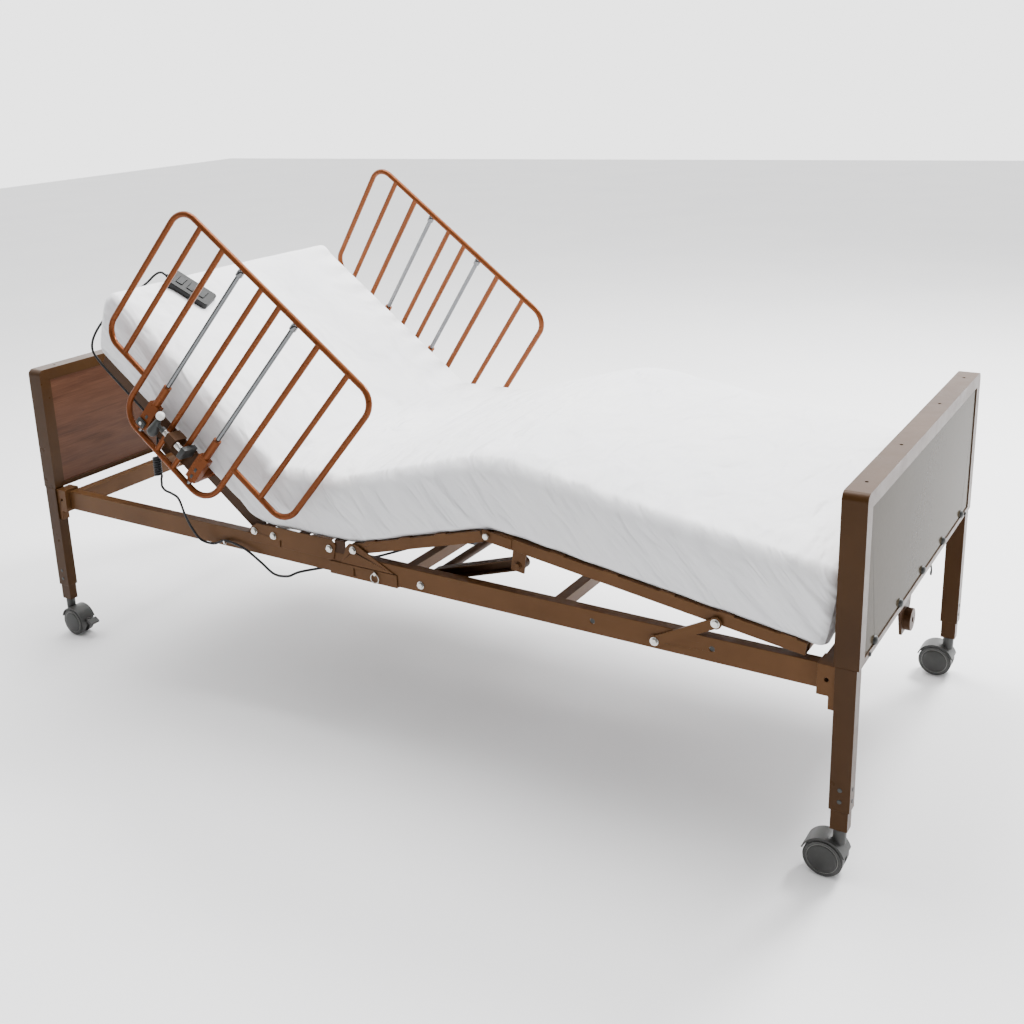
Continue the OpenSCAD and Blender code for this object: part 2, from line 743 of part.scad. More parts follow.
module mattress_back() {
    half = mattress_w / 2;
    top = back_deck_top + mattress_t;
    color("#f1f1f2") back_place() plate_xz(-half, half,
        [[-20, back_deck_top], [-20 - mattress_t * tan(35), top], [-690, top], [-640, back_deck_top]]);
}

// ---------------------------------------------------------------- side rails

// The bent tube, its lower loop and the bars; the chrome posts stand in holes in the tube
module guard_frame() {
    near_x = corner_r;
    far_x = guard_l - corner_r;
    top = guard_h;
    loop_z = loop_r - loop_drop;
    difference() {
        union() {
            rod([near_x, top], [far_x, top], guard_r);
            bend([near_x, top - corner_r], 90, 90, corner_r, guard_r);
            rod([0, top - corner_r], [0, corner_r], guard_r);
            bend([near_x, corner_r], 180, 90, corner_r, guard_r);
            rod([near_x, 0], [loop_left, 0], guard_r);
            rod([loop_left, top], [loop_left, loop_z], guard_r);
            bend([loop_left + loop_r, loop_z], 180, 90, loop_r, guard_r);
            rod([loop_left + loop_r, -loop_drop], [loop_right - loop_r, -loop_drop], guard_r);
            bend([loop_right - loop_r, loop_z], 270, 90, loop_r, guard_r);
            rod([loop_right, loop_z], [loop_right, top], guard_r);
            rod([loop_right, 0], [far_x, 0], guard_r);
            bend([far_x, corner_r], 270, 90, corner_r, guard_r);
            rod([guard_l, corner_r], [guard_l, top - corner_r], guard_r);
            bend([far_x, top - corner_r], 0, 90, corner_r, guard_r);
            for (x = guard_bars)
                rod([x, x > loop_left && x < loop_right ? -loop_drop : 0], [x, top], guard_r - 0.5);
        }
        for (x = post_x) rod([x, -loop_drop], [x, top], post_r);
    }
}

module guard_posts() {
    for (x = post_x) rod([x, -loop_drop], [x, guard_h], post_r);
}

module guard_near() { color("#96552f") guard_place() guard_frame(); }
module guard_far() { color("#96552f") far_rail() guard_place() guard_frame(); }
module guard_posts_near() { color("#c8ccd0") guard_place() guard_posts(); }
module guard_posts_far() { color("#c8ccd0") far_rail() guard_place() guard_posts(); }

// The sprung release knob: a stud in its housing, a pear-shaped grip across it and a ball on top
module release_knob() {
    translate([266, -24, -54]) rotate([0, 90, 0]) cylinder(h = 70, r = 4);
    translate([286, -24, -54]) rotate([0, 90, 0]) cylinder(h = 10, r = 8);
    hull() {
        translate([268, -24, -78]) sphere(r = 14, $fn = 32);
        translate([266, -24, -48]) sphere(r = 8, $fn = 32);
    }
    translate([264, -24, -32]) sphere(r = 11, $fn = 32);
}

module release_knob_near() { color("#57595b") guard_place() release_knob(); }
module release_knob_far() { color("#57595b") far_rail() guard_place() release_knob(); }

// ---------------------------------------------------------------- thigh and foot sections

// A box tube along the bed on the near side
module side_tube(x0, x1) {
    y = leg_rail_y;
    difference() {
        block(x0, x1, -y, -y + tube, -tube_half, tube_half);
        block(x0 - cut, x1 + cut, -y + tube_wall, -y + tube - tube_wall,
            -tube_half + tube_wall, tube_half - tube_wall);
    }
}

// Slats across a section, on top of its tubes
module slats(x0, pitch, count) {
    for (i = [0 : count - 1])
        block(x0 + i * pitch, x0 + i * pitch + 30, -leg_rail_y, leg_rail_y, tube_half, tube_half + slat_t);
}

module thigh_frame() {
    strap_x = thigh_l - 60;
    inner = leg_rail_y - tube;
    color("#7d5f40") thigh_place() {
        near_and_far() {
            difference() {
                side_tube(-9, thigh_l - 14);
                rod_y(0, 0, -leg_rail_y - cut, -inner + cut, bolt_r + fit);
            }
            block(strap_x, thigh_l + 11, -inner, -inner + 4, -11, 11);
            rod_y(thigh_l, 0, -leg_rail_y - 3, -inner, bolt_r);
            bolt_head(thigh_l, 0, -leg_rail_y - 3);
        }
        for (x = [60, thigh_l - 75]) translate([0, 0, -tube_half]) cross_tube(x, 0, inner);
        slats(36, 100, 3);
    }
}

module mattress_thigh() {
    half = mattress_w / 2;
    top = leg_deck + mattress_t;
    end = thigh_l - 3;
    color("#f1f1f2") thigh_place() plate_xz(-half, half,
        [[12, leg_deck], [end, leg_deck], [end, top], [12 + mattress_t * tan(16), top]]);
}

// The foot section, its hinge straps and the brackets that the knee crank lifts
module foot_frame() {
    inner = leg_rail_y - tube;
    outer = leg_rail_y;
    pin_x = (crank_pin_x - knee_x) * cos(foot_angle) - (crank_pin_z - knee_z) * sin(foot_angle);
    pin_z = (crank_pin_x - knee_x) * sin(foot_angle) + (crank_pin_z - knee_z) * cos(foot_angle);
    color("#7d5f40") foot_place() {
        near_and_far() {
            side_tube(14, foot_l);
            difference() {
                union() {
                    block(-12, 60, -outer - 2.4, -outer - 0.4, -12, 12);
                    block(14, 60, -outer - 0.4, -outer, -12, 12);
                }
                rod_y(0, 0, -outer - 5, -outer + cut, bolt_r + fit);
            }
            block(pin_x - 16, pin_x + 16, -inner, -inner + 6, -12, 12);
            block(pin_x - 16, pin_x + 16, -inner + 6, -inner + 10, pin_z - 14, 12);
            bolt_head(pin_x, pin_z, 6 - inner);
        }
        for (x = [150, 400, foot_l - tube]) translate([0, 0, -tube_half]) cross_tube(x, 0, inner);
        slats(30, 120, 6);
    }
}

module mattress_foot() {
    half = mattress_w / 2;
    color("#f1f1f2") foot_place() block(3, foot_l + 20, -half, half, leg_deck, leg_deck + mattress_t);
}

// ---------------------------------------------------------------- knee crank and foot links

// The knee shaft with its two channel arms and the levers that the push rod moves
module knee_crank() {
    arm_in = 375;
    arm_out = 399;
    r = crank_h / 2;
    color("#6e5138") translate([crank_x, 0, crank_z]) {
        near_and_far() {
            rotate([0, -crank_angle, 0]) difference() {
                union() {
                    block(0, crank_l, -arm_out, -arm_in, -r, r);
                    rod_y(0, 0, -arm_out, -arm_in, r);
                    rod_y(crank_l, 0, -arm_out, -arm_in, r);
                }
                block(0, crank_l, -arm_out - cut, -arm_in - 3, -r + 3, r - 3);
            }
            rod_y(0, 0, -408, -arm_in, 10);
            rod_y(0, 0, -424, -408, 6);
        }
        rod_y(0, 0, -arm_in, arm_in, 10);
        for (y = [motor_y - 14, motor_y + 8])
            plate_xz(y, y + 6, [[-11, 0], [11, 0], [9, -lever_l - 8], [-9, -lever_l - 8]]);
        rod_y(0, -lever_l, motor_y - 14, motor_y + 14, 5);
    }
}

// A link from the side rail to the foot section; its upper pivot is left open
module foot_link() {
    translate([link_low_x, 0, link_low_z]) rotate([0, -link_angle, 0]) {
        difference() {
            union() {
                block(0, link_l, -link_y - link_t, -link_y, -10, 10);
                rod_y(0, 0, -link_y - link_t, -link_y, 12);
                rod_y(link_l, 0, -link_y - link_t, -link_y, 12);
            }
            rod_y(0, 0, -link_y - link_t - cut, -link_y + cut, bolt_r + fit);
        }
        bolt_head(link_l, 0, -link_y - link_t);
    }
}

module foot_link_near() { color("#7d5f40") foot_link(); }
module foot_link_far() { color("#7d5f40") mirror([0, 1, 0]) foot_link(); }

// ---------------------------------------------------------------- handset and cord

module handset_place() {
    back_place() translate(handset_at) rotate([0, 0, handset_turn]) children();
}

module handset() {
    corner = 8;
    half_l = handset_l / 2 - corner;
    half_w = handset_w / 2 - corner;
    color("#26272a") handset_place() difference() {
        union() {
            hull() {
                for (x = [-half_l, half_l]) for (y = [-half_w, half_w])
                    translate([x, y, 0]) cylinder(h = handset_t - 3, r = corner, $fn = 32);
                for (x = [-half_l, half_l]) for (y = [-half_w, half_w])
                    translate([x, y, 0]) cylinder(h = handset_t, r = corner - 2, $fn = 32);
            }
            translate([-handset_l / 2 - 11, 0, 11]) rotate([0, 90, 0]) cylinder(h = 12, r = 5);
        }
        for (i = [-1 : 1])
            block(i * rocker_pitch - 10, i * rocker_pitch + 10, -18, 18, handset_t - 5, handset_t + cut);
    }
}

// A rocker key that tips about the handset's long axis
module rocker(i) {
    color("#45474b") handset_place() translate([i * rocker_pitch, 0, 0]) rotate([90, 0, 90])
        translate([0, 0, -8.5]) linear_extrude(height = 17)
        polygon([[-16, 19.5], [0, 18], [16, 19.5], [16, 24], [0, 22.6], [-16, 24]]);
}

module rocker_back() { rocker(-1); }
module rocker_knee() { rocker(0); }
module rocker_height() { rocker(1); }

module cord_lead() { color("#222224") cord_tube(lead_points, cord_r, 8); }
module cord_coil() { color("#222224") translate([coil_x, coil_y, coil_z]) cylinder(h = coil_h, r = coil_r); }
module cord_tail() { color("#222224") cord_tube(tail_points, cord_r, 8); }

head_end_frame();
foot_end_frame();
inner_panels();
outer_panels();
leg_sleeves();
corner_castings();
side_rails_head();
side_rails_foot();
cross_rails();
splice_sleeves();
quick_pins();
pivot_plates();
frame_bolts();
seat_deck();
cable_hooks();
head_gear_housing();
foot_gear_housing();
lift_motors();
control_box();
mattress_seat();
inner_leg_hn();
inner_leg_hf();
inner_leg_fn();
inner_leg_ff();
caster_fork_hn();
caster_fork_hf();
caster_fork_fn();
caster_fork_ff();
caster_wheels_hn();
caster_wheels_hf();
caster_wheels_fn();
caster_wheels_ff();
brake_lever_hn();
brake_lever_hf();
back_frame();
back_deck();
guard_mounts();
mattress_back();
back_push_rod();
knee_push_rod();
guard_near();
guard_far();
guard_posts_near();
guard_posts_far();
release_knob_near();
release_knob_far();
thigh_frame();
mattress_thigh();
foot_frame();
mattress_foot();
foot_link_near();
foot_link_far();
knee_crank();
handset();
rocker_back();
rocker_knee();
rocker_height();
cord_lead();
cord_coil();
cord_tail();
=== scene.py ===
"""Looks of the adjustable bed: camera and light, the pendant cord, the foam mattress in its stretch cover,
the small fittings, and a procedural material for every surface.

Everything is in metres, in the bed's own frame: x runs towards the foot end, y towards the far side, z up."""
import json
import math

import bmesh
import bpy
import numpy as np
from mathutils import Matrix, Vector, noise


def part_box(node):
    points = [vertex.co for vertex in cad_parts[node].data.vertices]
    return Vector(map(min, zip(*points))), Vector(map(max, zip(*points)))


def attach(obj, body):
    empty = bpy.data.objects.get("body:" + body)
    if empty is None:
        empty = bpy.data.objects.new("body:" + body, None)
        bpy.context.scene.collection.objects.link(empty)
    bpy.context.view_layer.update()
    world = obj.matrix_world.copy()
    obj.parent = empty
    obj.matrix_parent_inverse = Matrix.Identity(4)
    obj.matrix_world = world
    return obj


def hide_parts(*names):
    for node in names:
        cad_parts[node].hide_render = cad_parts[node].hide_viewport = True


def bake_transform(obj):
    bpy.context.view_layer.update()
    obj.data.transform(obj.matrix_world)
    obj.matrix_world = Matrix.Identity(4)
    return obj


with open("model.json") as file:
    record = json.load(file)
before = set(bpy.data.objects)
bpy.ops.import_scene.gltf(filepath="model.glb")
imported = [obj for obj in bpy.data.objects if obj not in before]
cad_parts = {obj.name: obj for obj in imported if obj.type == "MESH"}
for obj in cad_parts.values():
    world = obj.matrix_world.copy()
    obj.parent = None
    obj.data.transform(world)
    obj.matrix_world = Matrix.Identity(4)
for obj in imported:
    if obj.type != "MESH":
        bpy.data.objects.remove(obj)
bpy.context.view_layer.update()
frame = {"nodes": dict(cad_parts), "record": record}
nodes = frame["nodes"]
scene = bpy.context.scene
MM = 0.001

# ------------------------------------------------------------------ places taken from the bed's own design
BACK_PIVOT = Vector((-0.340, 0, 0.430))
THIGH_PIVOT = Vector((-0.041, 0, 0.437))
BACK_ANGLE = math.radians(37.5)
THIGH_ANGLE = math.radians(15.5)
FOOT_ANGLE = math.radians(8.2)
THIGH_L = 0.371
KNEE = THIGH_PIVOT + Vector((THIGH_L * math.cos(THIGH_ANGLE), 0, THIGH_L * math.sin(THIGH_ANGLE)))
MATTRESS_T = 0.147
MATTRESS_W = 0.874


def frame_at(origin, pitch):
    """A section's own frame: x runs towards the foot end, turned down by pitch."""
    return Matrix.Translation(origin) @ Matrix.Rotation(pitch, 4, "Y")


BACK = frame_at(BACK_PIVOT, BACK_ANGLE)
THIGH = frame_at(THIGH_PIVOT, -THIGH_ANGLE)
FOOT = frame_at(KNEE, FOOT_ANGLE)
GUARD = BACK @ Matrix.Translation((-0.602, -0.472, 0.118)) @ Matrix.Rotation(math.radians(-10), 4, "X")
HANDSET = BACK @ Matrix.Translation((-0.612, -0.205, 0.1735)) @ Matrix.Rotation(math.radians(22), 4, "Z")
FAR_SHIFT = BACK.to_3x3() @ Vector((-0.030, 0, 0))
FAR_RAIL = Matrix.Scale(-1, 4, (0, 1, 0)) @ Matrix.Translation(FAR_SHIFT) @ GUARD


# ------------------------------------------------------------------ camera
def make_camera():
    """A camera at the near side of the foot end, rolled a little and shifted like a view lens."""
    azimuth, elevation, roll = 0.60698, 0.2854, -0.04965
    eye = Vector((1.5904, -2.4380, 1.4891))
    data = bpy.data.cameras.new("camera")
    data.lens = 42.89
    data.sensor_width = 36
    data.shift_x = 0.0752
    data.shift_y = -0.0898
    camera = bpy.data.objects.new("camera", data)
    back = Vector((math.sin(azimuth) * math.cos(elevation), -math.cos(azimuth) * math.cos(elevation),
                   math.sin(elevation)))
    right = (-back).cross(Vector((0, 0, 1))).normalized()
    up = right.cross(-back)
    rolled_right = math.cos(roll) * right + math.sin(roll) * up
    rolled_up = -math.sin(roll) * right + math.cos(roll) * up
    turn = Matrix((rolled_right, rolled_up, back)).transposed().to_4x4()
    camera.matrix_world = Matrix.Translation(eye) @ turn
    scene.collection.objects.link(camera)
    scene.camera = camera


make_camera()


# ------------------------------------------------------------------ mesh helpers
def new_object(name, mesh):
    piece = bpy.data.objects.new(name, mesh)
    scene.collection.objects.link(piece)
    return piece


def object_from(name, points, faces, smooth=True):
    mesh = bpy.data.meshes.new(name)
    mesh.from_pydata([tuple(p) for p in points], [], faces)
    mesh.update()
    for polygon in mesh.polygons:
        polygon.use_smooth = smooth
    return new_object(name, mesh)


def curve_points(route):
    """Points on a smooth curve through the route's own points."""
    steps = 6
    p = [Vector(a) for a in route]
    out = []
    for i in range(len(p) - 1):
        a, b, c, d = p[max(i - 1, 0)], p[i], p[i + 1], p[min(i + 2, len(p) - 1)]
        for k in range(steps):
            f = k / steps
            out.append(0.5 * (2 * b + (c - a) * f + (2 * a - 5 * b + 4 * c - d) * f * f
                              + (3 * b - a - 3 * c + d) * f * f * f))
    return out + [p[-1]]


def tube_along(name, path, radius, sides):
    """A round tube along a path, with flat ends."""
    count = len(path)
    tangents = [(path[min(i + 1, count - 1)] - path[max(i - 1, 0)]).normalized() for i in range(count)]
    side = tangents[0].orthogonal().normalized()
    points, faces = [], []
    for i in range(count):
        side = (side - tangents[i] * side.dot(tangents[i])).normalized()
        other = tangents[i].cross(side)
        for k in range(sides):
            turn = 2 * math.pi * k / sides
            points.append(path[i] + radius * (math.cos(turn) * side + math.sin(turn) * other))
    for i in range(count - 1):
        for k in range(sides):
            nxt = (k + 1) % sides
            faces.append((i * sides + k, i * sides + nxt, (i + 1) * sides + nxt, (i + 1) * sides + k))
    faces.append(tuple(reversed(range(sides))))
    faces.append(tuple((count - 1) * sides + k for k in range(sides)))
    return object_from(name, points, faces)


def turned(name, profile, place):
    """A turned shape: profile gives (radius, height) from one end to the other, along place's own z."""
    segments = 48
    points, faces = [], []
    for radius, height in profile:
        for k in range(segments):
            turn = 2 * math.pi * k / segments
            points.append(place @ Vector((radius * math.cos(turn), radius * math.sin(turn), height)))
    for i in range(len(profile) - 1):
        for k in range(segments):
            nxt = (k + 1) % segments
            low, high = i * segments, (i + 1) * segments
            faces.append((low + k, low + nxt, high + nxt, high + k))
    faces.append(tuple(reversed(range(segments))))
    faces.append(tuple((len(profile) - 1) * segments + k for k in range(segments)))
    piece = object_from(name, points, faces)
    bm = bmesh.new()
    bm.from_mesh(piece.data)
    bmesh.ops.remove_doubles(bm, verts=bm.verts, dist=1e-6)
    bmesh.ops.recalc_face_normals(bm, faces=bm.faces)
    bm.to_mesh(piece.data)
    bm.free()
    return piece


def rounded_box(name, low, high, edge):
    """A box with rounded edges between two opposite corners."""
    bm = bmesh.new()
    bmesh.ops.create_cube(bm, size=1)
    low, high = Vector(low), Vector(high)
    for v in bm.verts:
        v.co = Vector(((low[i] + high[i]) / 2 + v.co[i] * (high[i] - low[i]) for i in range(3)))
    bmesh.ops.bevel(bm, geom=bm.edges[:], offset=edge, segments=3, affect="EDGES", profile=0.5)
    bmesh.ops.recalc_face_normals(bm, faces=bm.faces)
    mesh = bpy.data.meshes.new(name)
    bm.to_mesh(mesh)
    bm.free()
    for polygon in mesh.polygons:
        polygon.use_smooth = True
    return new_object(name, mesh)


def soften(piece, width):
    """Rounds a piece's sharp edges with modifiers, which leave its own mesh as it is."""
    weld = piece.modifiers.new("weld", "WELD")
    weld.merge_threshold = 0.00001
    bevel = piece.modifiers.new("bevel", "BEVEL")
    bevel.width = width
    bevel.segments = 2
    bevel.limit_method = "ANGLE"
    bevel.angle_limit = math.radians(35)
    bevel.use_clamp_overlap = True
    normals = piece.modifiers.new("normals", "WEIGHTED_NORMAL")
    normals.keep_sharp = False
    normals.weight = 60


# ------------------------------------------------------------------ materials
def shader(name, color, rough, metallic=0.0, coat=0.0, coat_rough=0.1, sheen=0.0):
    """A new material with its Principled shader; the constant values sit on the shader's own sockets."""
    material = bpy.data.materials.new(name)
    material.use_nodes = True
    bsdf = material.node_tree.nodes["Principled BSDF"]
    bsdf.inputs["Base Color"].default_value = (*color, 1)
    bsdf.inputs["Roughness"].default_value = rough
    bsdf.inputs["Metallic"].default_value = metallic
    bsdf.inputs["Coat Weight"].default_value = coat
    bsdf.inputs["Coat Roughness"].default_value = coat_rough
    bsdf.inputs["Sheen Weight"].default_value = sheen
    return material, material.node_tree, bsdf


def add(tree, kind, **settings):
    """A new node, with its own settings."""
    node = tree.nodes.new(kind)
    for key, value in settings.items():
        setattr(node, key, value)
    return node


def object_space(tree, scale=(1, 1, 1), turn=(0, 0, 0)):
    """Object coordinates, stretched and turned."""
    where = add(tree, "ShaderNodeTexCoord")
    mapping = add(tree, "ShaderNodeMapping")
    mapping.inputs["Scale"].default_value = scale
    mapping.inputs["Rotation"].default_value = turn
    tree.links.new(where.outputs["Object"], mapping.inputs["Vector"])
    return mapping.outputs["Vector"]


def noise_of(tree, vector, scale, detail, rough, distortion=0.0):
    """Fine or slow noise at a place, from 0 to 1."""
    node = add(tree, "ShaderNodeTexNoise")
    node.inputs["Scale"].default_value = scale
    node.inputs["Detail"].default_value = detail
    node.inputs["Roughness"].default_value = rough
    node.inputs["Distortion"].default_value = distortion
    tree.links.new(vector, node.inputs["Vector"])
    return node.outputs["Fac"]


def ramp(tree, value, *stops):
    """A colour ramp: stops are (place, colour) pairs."""
    node = add(tree, "ShaderNodeValToRGB")
    band = node.color_ramp
    while len(band.elements) < len(stops):
        band.elements.new(0.5)
    for element, (place, color) in zip(band.elements, stops):
        element.position = place
        element.color = (*color, 1)
    tree.links.new(value, node.inputs["Fac"])
    return node.outputs["Color"]


def spread(tree, value, low, high):
    """Maps a 0-1 noise to a range."""
    node = add(tree, "ShaderNodeMapRange")
    node.inputs["From Min"].default_value = 0.3
    node.inputs["From Max"].default_value = 0.7
    node.inputs["To Min"].default_value = low
    node.inputs["To Max"].default_value = high
    tree.links.new(value, node.inputs["Value"])
    return node.outputs["Result"]


def mix_colors(tree, share, a, b):
    """Colour a turning into colour b as the share grows."""
    node = add(tree, "ShaderNodeMix", data_type="RGBA")
    tree.links.new(share, node.inputs["Factor"])
    for value, index in ((a, 6), (b, 7)):
        if isinstance(value, tuple):
            node.inputs[index].default_value = (*value, 1)
        else:
            tree.links.new(value, node.inputs[index])
    return node.outputs[2]


def bump(tree, bsdf, height, strength, distance):
    """Relief on a surface, added to any relief it has already."""
    node = add(tree, "ShaderNodeBump")
    node.inputs["Strength"].default_value = strength
    node.inputs["Distance"].default_value = distance
    tree.links.new(height, node.inputs["Height"])
    chained = bsdf.inputs["Normal"]
    if chained.is_linked:
        tree.links.new(chained.links[0].from_socket, node.inputs["Normal"])
    tree.links.new(node.outputs["Normal"], chained)


def metallic_paint(name, dark, light, rough, metallic, coat):
    """Brown paint: slow shade changes, fine flakes, an orange-peel skin and duller rubbed patches."""
    middle = tuple((a + b) / 2 for a, b in zip(dark, light))
    material, tree, bsdf = shader(name, middle, rough, metallic, coat, 0.2)
    bsdf.inputs["Specular IOR Level"].default_value = 0.12
    place = object_space(tree)
    cloud = noise_of(tree, place, 5, 5, 0.6)
    flakes = noise_of(tree, place, 1600, 2, 0.6)
    base = ramp(tree, cloud, (0.30, dark), (0.70, light))
    flake = tuple(min(1, c * 1.7) for c in light)
    tree.links.new(mix_colors(tree, spread(tree, flakes, 0.0, 0.16), base, flake), bsdf.inputs["Base Color"])
    rubbed = noise_of(tree, object_space(tree, (1, 1, 1), (0.3, 0.2, 0.5)), 22, 6, 0.7)
    tree.links.new(spread(tree, rubbed, rough - 0.04, rough + 0.07), bsdf.inputs["Roughness"])
    bump(tree, bsdf, noise_of(tree, place, 520, 3, 0.5), 0.10, 0.0004)
    return material


def wood_laminate():
    """A brown laminate printed with long horizontal grain."""
    material, tree, bsdf = shader("wood_laminate", (0.12, 0.06, 0.035), 0.36, 0.0, 0.06, 0.18)
    bsdf.inputs["Specular IOR Level"].default_value = 0.12
    long_grain = object_space(tree, (1, 0.55, 9))
    broad = noise_of(tree, long_grain, 2.6, 6, 0.62, 0.9)
    fine = noise_of(tree, object_space(tree, (1, 1.2, 60)), 14, 5, 0.7, 0.3)
    board = ramp(tree, broad, (0.28, (0.028, 0.009, 0.0035)), (0.45, (0.072, 0.026, 0.012)),
                 (0.58, (0.105, 0.043, 0.021)), (0.74, (0.050, 0.018, 0.008)))
    streaks = ramp(tree, fine, (0.35, (0.034, 0.011, 0.005)), (0.65, (0.125, 0.055, 0.029)))
    tree.links.new(mix_colors(tree, spread(tree, fine, 0.15, 0.5), board, streaks), bsdf.inputs["Base Color"])
    tree.links.new(spread(tree, broad, 0.30, 0.46), bsdf.inputs["Roughness"])
    bump(tree, bsdf, fine, 0.08, 0.0004)
    return material


def gloss_laminate():
    """The taupe outer laminate: smooth, with a faint mottle and a slight waviness."""
    material, tree, bsdf = shader("gloss_laminate", (0.135, 0.112, 0.084), 0.10)
    bsdf.inputs["Specular IOR Level"].default_value = 0.008
    place = object_space(tree)
    mottle = noise_of(tree, place, 90, 5, 0.6)
    cloud = noise_of(tree, place, 2.4, 3, 0.5)
    base = ramp(tree, cloud, (0.3, (0.040, 0.031, 0.019)), (0.7, (0.058, 0.046, 0.030)))
    tree.links.new(mix_colors(tree, spread(tree, mottle, 0.0, 0.25), base, (0.075, 0.061, 0.042)),
                   bsdf.inputs["Base Color"])
    tree.links.new(spread(tree, mottle, 0.08, 0.16), bsdf.inputs["Roughness"])
    bump(tree, bsdf, noise_of(tree, place, 4, 2, 0.5), 0.05, 0.002)
    return material


def bright_metal(name, color, rough):
    """Chrome or zinc: fine scratches in the roughness and a slight stain in the colour."""
    material, tree, bsdf = shader(name, color, rough, 1.0)
    place = object_space(tree)
    stain = noise_of(tree, place, 60, 5, 0.65)
    tree.links.new(ramp(tree, stain, (0.3, tuple(c * 0.78 for c in color)), (0.65, color)),
                   bsdf.inputs["Base Color"])
    lines = noise_of(tree, object_space(tree, (1, 1, 14)), 240, 3, 0.6)
    tree.links.new(spread(tree, lines, rough * 0.8, rough + 0.06), bsdf.inputs["Roughness"])
    bump(tree, bsdf, lines, 0.03, 0.0002)
    return material


def moulded_plastic(name, color, rough, grain=700, strength=0.25):
    """Moulded plastic with a fine spark-eroded texture and a little variation from handling."""
    material, tree, bsdf = shader(name, color, rough)
    bsdf.inputs["Specular IOR Level"].default_value = 0.3
    place = object_space(tree)
    handled = noise_of(tree, place, 18, 5, 0.6)
    dark, light = tuple(c * 0.75 for c in color), tuple(c * 1.30 for c in color)
    tree.links.new(ramp(tree, handled, (0.3, dark), (0.7, light)), bsdf.inputs["Base Color"])
    tree.links.new(spread(tree, handled, rough - 0.06, rough + 0.10), bsdf.inputs["Roughness"])
    bump(tree, bsdf, noise_of(tree, place, grain, 2, 0.5), strength, 0.0004)
    return material


def mattress_cover():
    """White coated stretch fabric: a fine knit, soft creases and slightly cooler patches at random."""
    material, tree, bsdf = shader("mattress_cover", (0.80, 0.80, 0.815), 0.62, 0.0, 0.0, 0.1, 0.25)
    bsdf.inputs["Sheen Roughness"].default_value = 0.5
    place = object_space(tree)
    cloud = noise_of(tree, place, 3.5, 5, 0.55)
    tree.links.new(ramp(tree, cloud, (0.3, (0.755, 0.76, 0.785)), (0.7, (0.83, 0.83, 0.84))),
                   bsdf.inputs["Base Color"])
    knit = add(tree, "ShaderNodeTexWave", wave_type="BANDS", bands_direction="X")
    knit.inputs["Scale"].default_value = 210
    knit.inputs["Distortion"].default_value = 1.0
    cross = add(tree, "ShaderNodeTexWave", wave_type="BANDS", bands_direction="Y")
    cross.inputs["Scale"].default_value = 210
    cross.inputs["Distortion"].default_value = 1.0
    weave = add(tree, "ShaderNodeMath", operation="MULTIPLY")
    for wave, socket in ((knit, 0), (cross, 1)):
        tree.links.new(place, wave.inputs["Vector"])
        tree.links.new(wave.outputs["Fac"], weave.inputs[socket])
    bump(tree, bsdf, weave.outputs[0], 0.16, 0.0003)
    slanted = object_space(tree, (1.0, 1.0, 0.24), (0, 0.80, 0))
    slanted.node.vector_type = "TEXTURE"
    bump(tree, bsdf, noise_of(tree, slanted, 6.5, 2, 0.45, 0.5), 0.7, 0.024)
    bump(tree, bsdf, noise_of(tree, slanted, 20, 3, 0.5, 0.6), 0.3, 0.006)
    tree.links.new(spread(tree, cloud, 0.56, 0.70), bsdf.inputs["Roughness"])
    return material


def pale_floor():
    """A matt studio floor with a very slow mottle."""
    material, tree, bsdf = shader("pale_floor", (0.86, 0.86, 0.87), 0.75)
    mottle = noise_of(tree, object_space(tree), 1.5, 3, 0.5)
    tree.links.new(ramp(tree, mottle, (0.3, (0.845, 0.845, 0.855)), (0.7, (0.875, 0.875, 0.88))),
                   bsdf.inputs["Base Color"])
    return material


end_paint = metallic_paint("end_paint", (0.036, 0.015, 0.004), (0.050, 0.022, 0.006), 0.30, 0.05, 0.0)
frame_paint = metallic_paint("frame_paint", (0.072, 0.032, 0.011), (0.100, 0.046, 0.017), 0.34, 0.15, 0.0)
deck_paint = metallic_paint("deck_paint", (0.034, 0.014, 0.005), (0.052, 0.023, 0.008), 0.42, 0.15, 0.03)
guard_paint = metallic_paint("guard_paint", (0.130, 0.035, 0.009), (0.160, 0.046, 0.012), 0.27, 0.35, 0.05)
MATERIALS = {
    "bed_end_paint": end_paint,
    "frame_paint": frame_paint,
    "deck_paint": deck_paint,
    "rail_paint": guard_paint,
    "panel_wood": wood_laminate(),
    "panel_laminate": gloss_laminate(),
    "bright_steel": bright_metal("zinc", (0.62, 0.61, 0.58), 0.26),
    "chrome_post": bright_metal("chrome", (0.17, 0.175, 0.18), 0.12),
    "chrome_wire": bright_metal("chrome_wire", (0.78, 0.78, 0.77), 0.16),
    "drive_plastic": moulded_plastic("drive_plastic", (0.030, 0.030, 0.032), 0.5),
    "knob_plastic": moulded_plastic("knob_plastic", (0.034, 0.036, 0.035), 0.42),
    "caster_plastic": moulded_plastic("caster_plastic", (0.040, 0.040, 0.038), 0.42, 900),
    "wheel_tread": moulded_plastic("wheel_tread", (0.060, 0.060, 0.057), 0.5, 500),
    "handset_shell": moulded_plastic("handset_shell", (0.006, 0.0065, 0.006), 0.45, 1100),
    "rocker_plastic": moulded_plastic("rocker_plastic", (0.010, 0.011, 0.011), 0.42, 1100),
    "cord_sheath": moulded_plastic("cord_sheath", (0.012, 0.012, 0.013), 0.40, 900, 0.12),
    "mattress_cover": mattress_cover(),
}
white_plastic = moulded_plastic("white_plastic", (0.72, 0.71, 0.69), 0.30, 900, 0.1)
pale_rim = moulded_plastic("pale_rim", (0.16, 0.16, 0.15), 0.4, 900, 0.1)

SLOT_OF = {part["node"]: part["material_slot"] for part in frame["record"]["subparts"]}
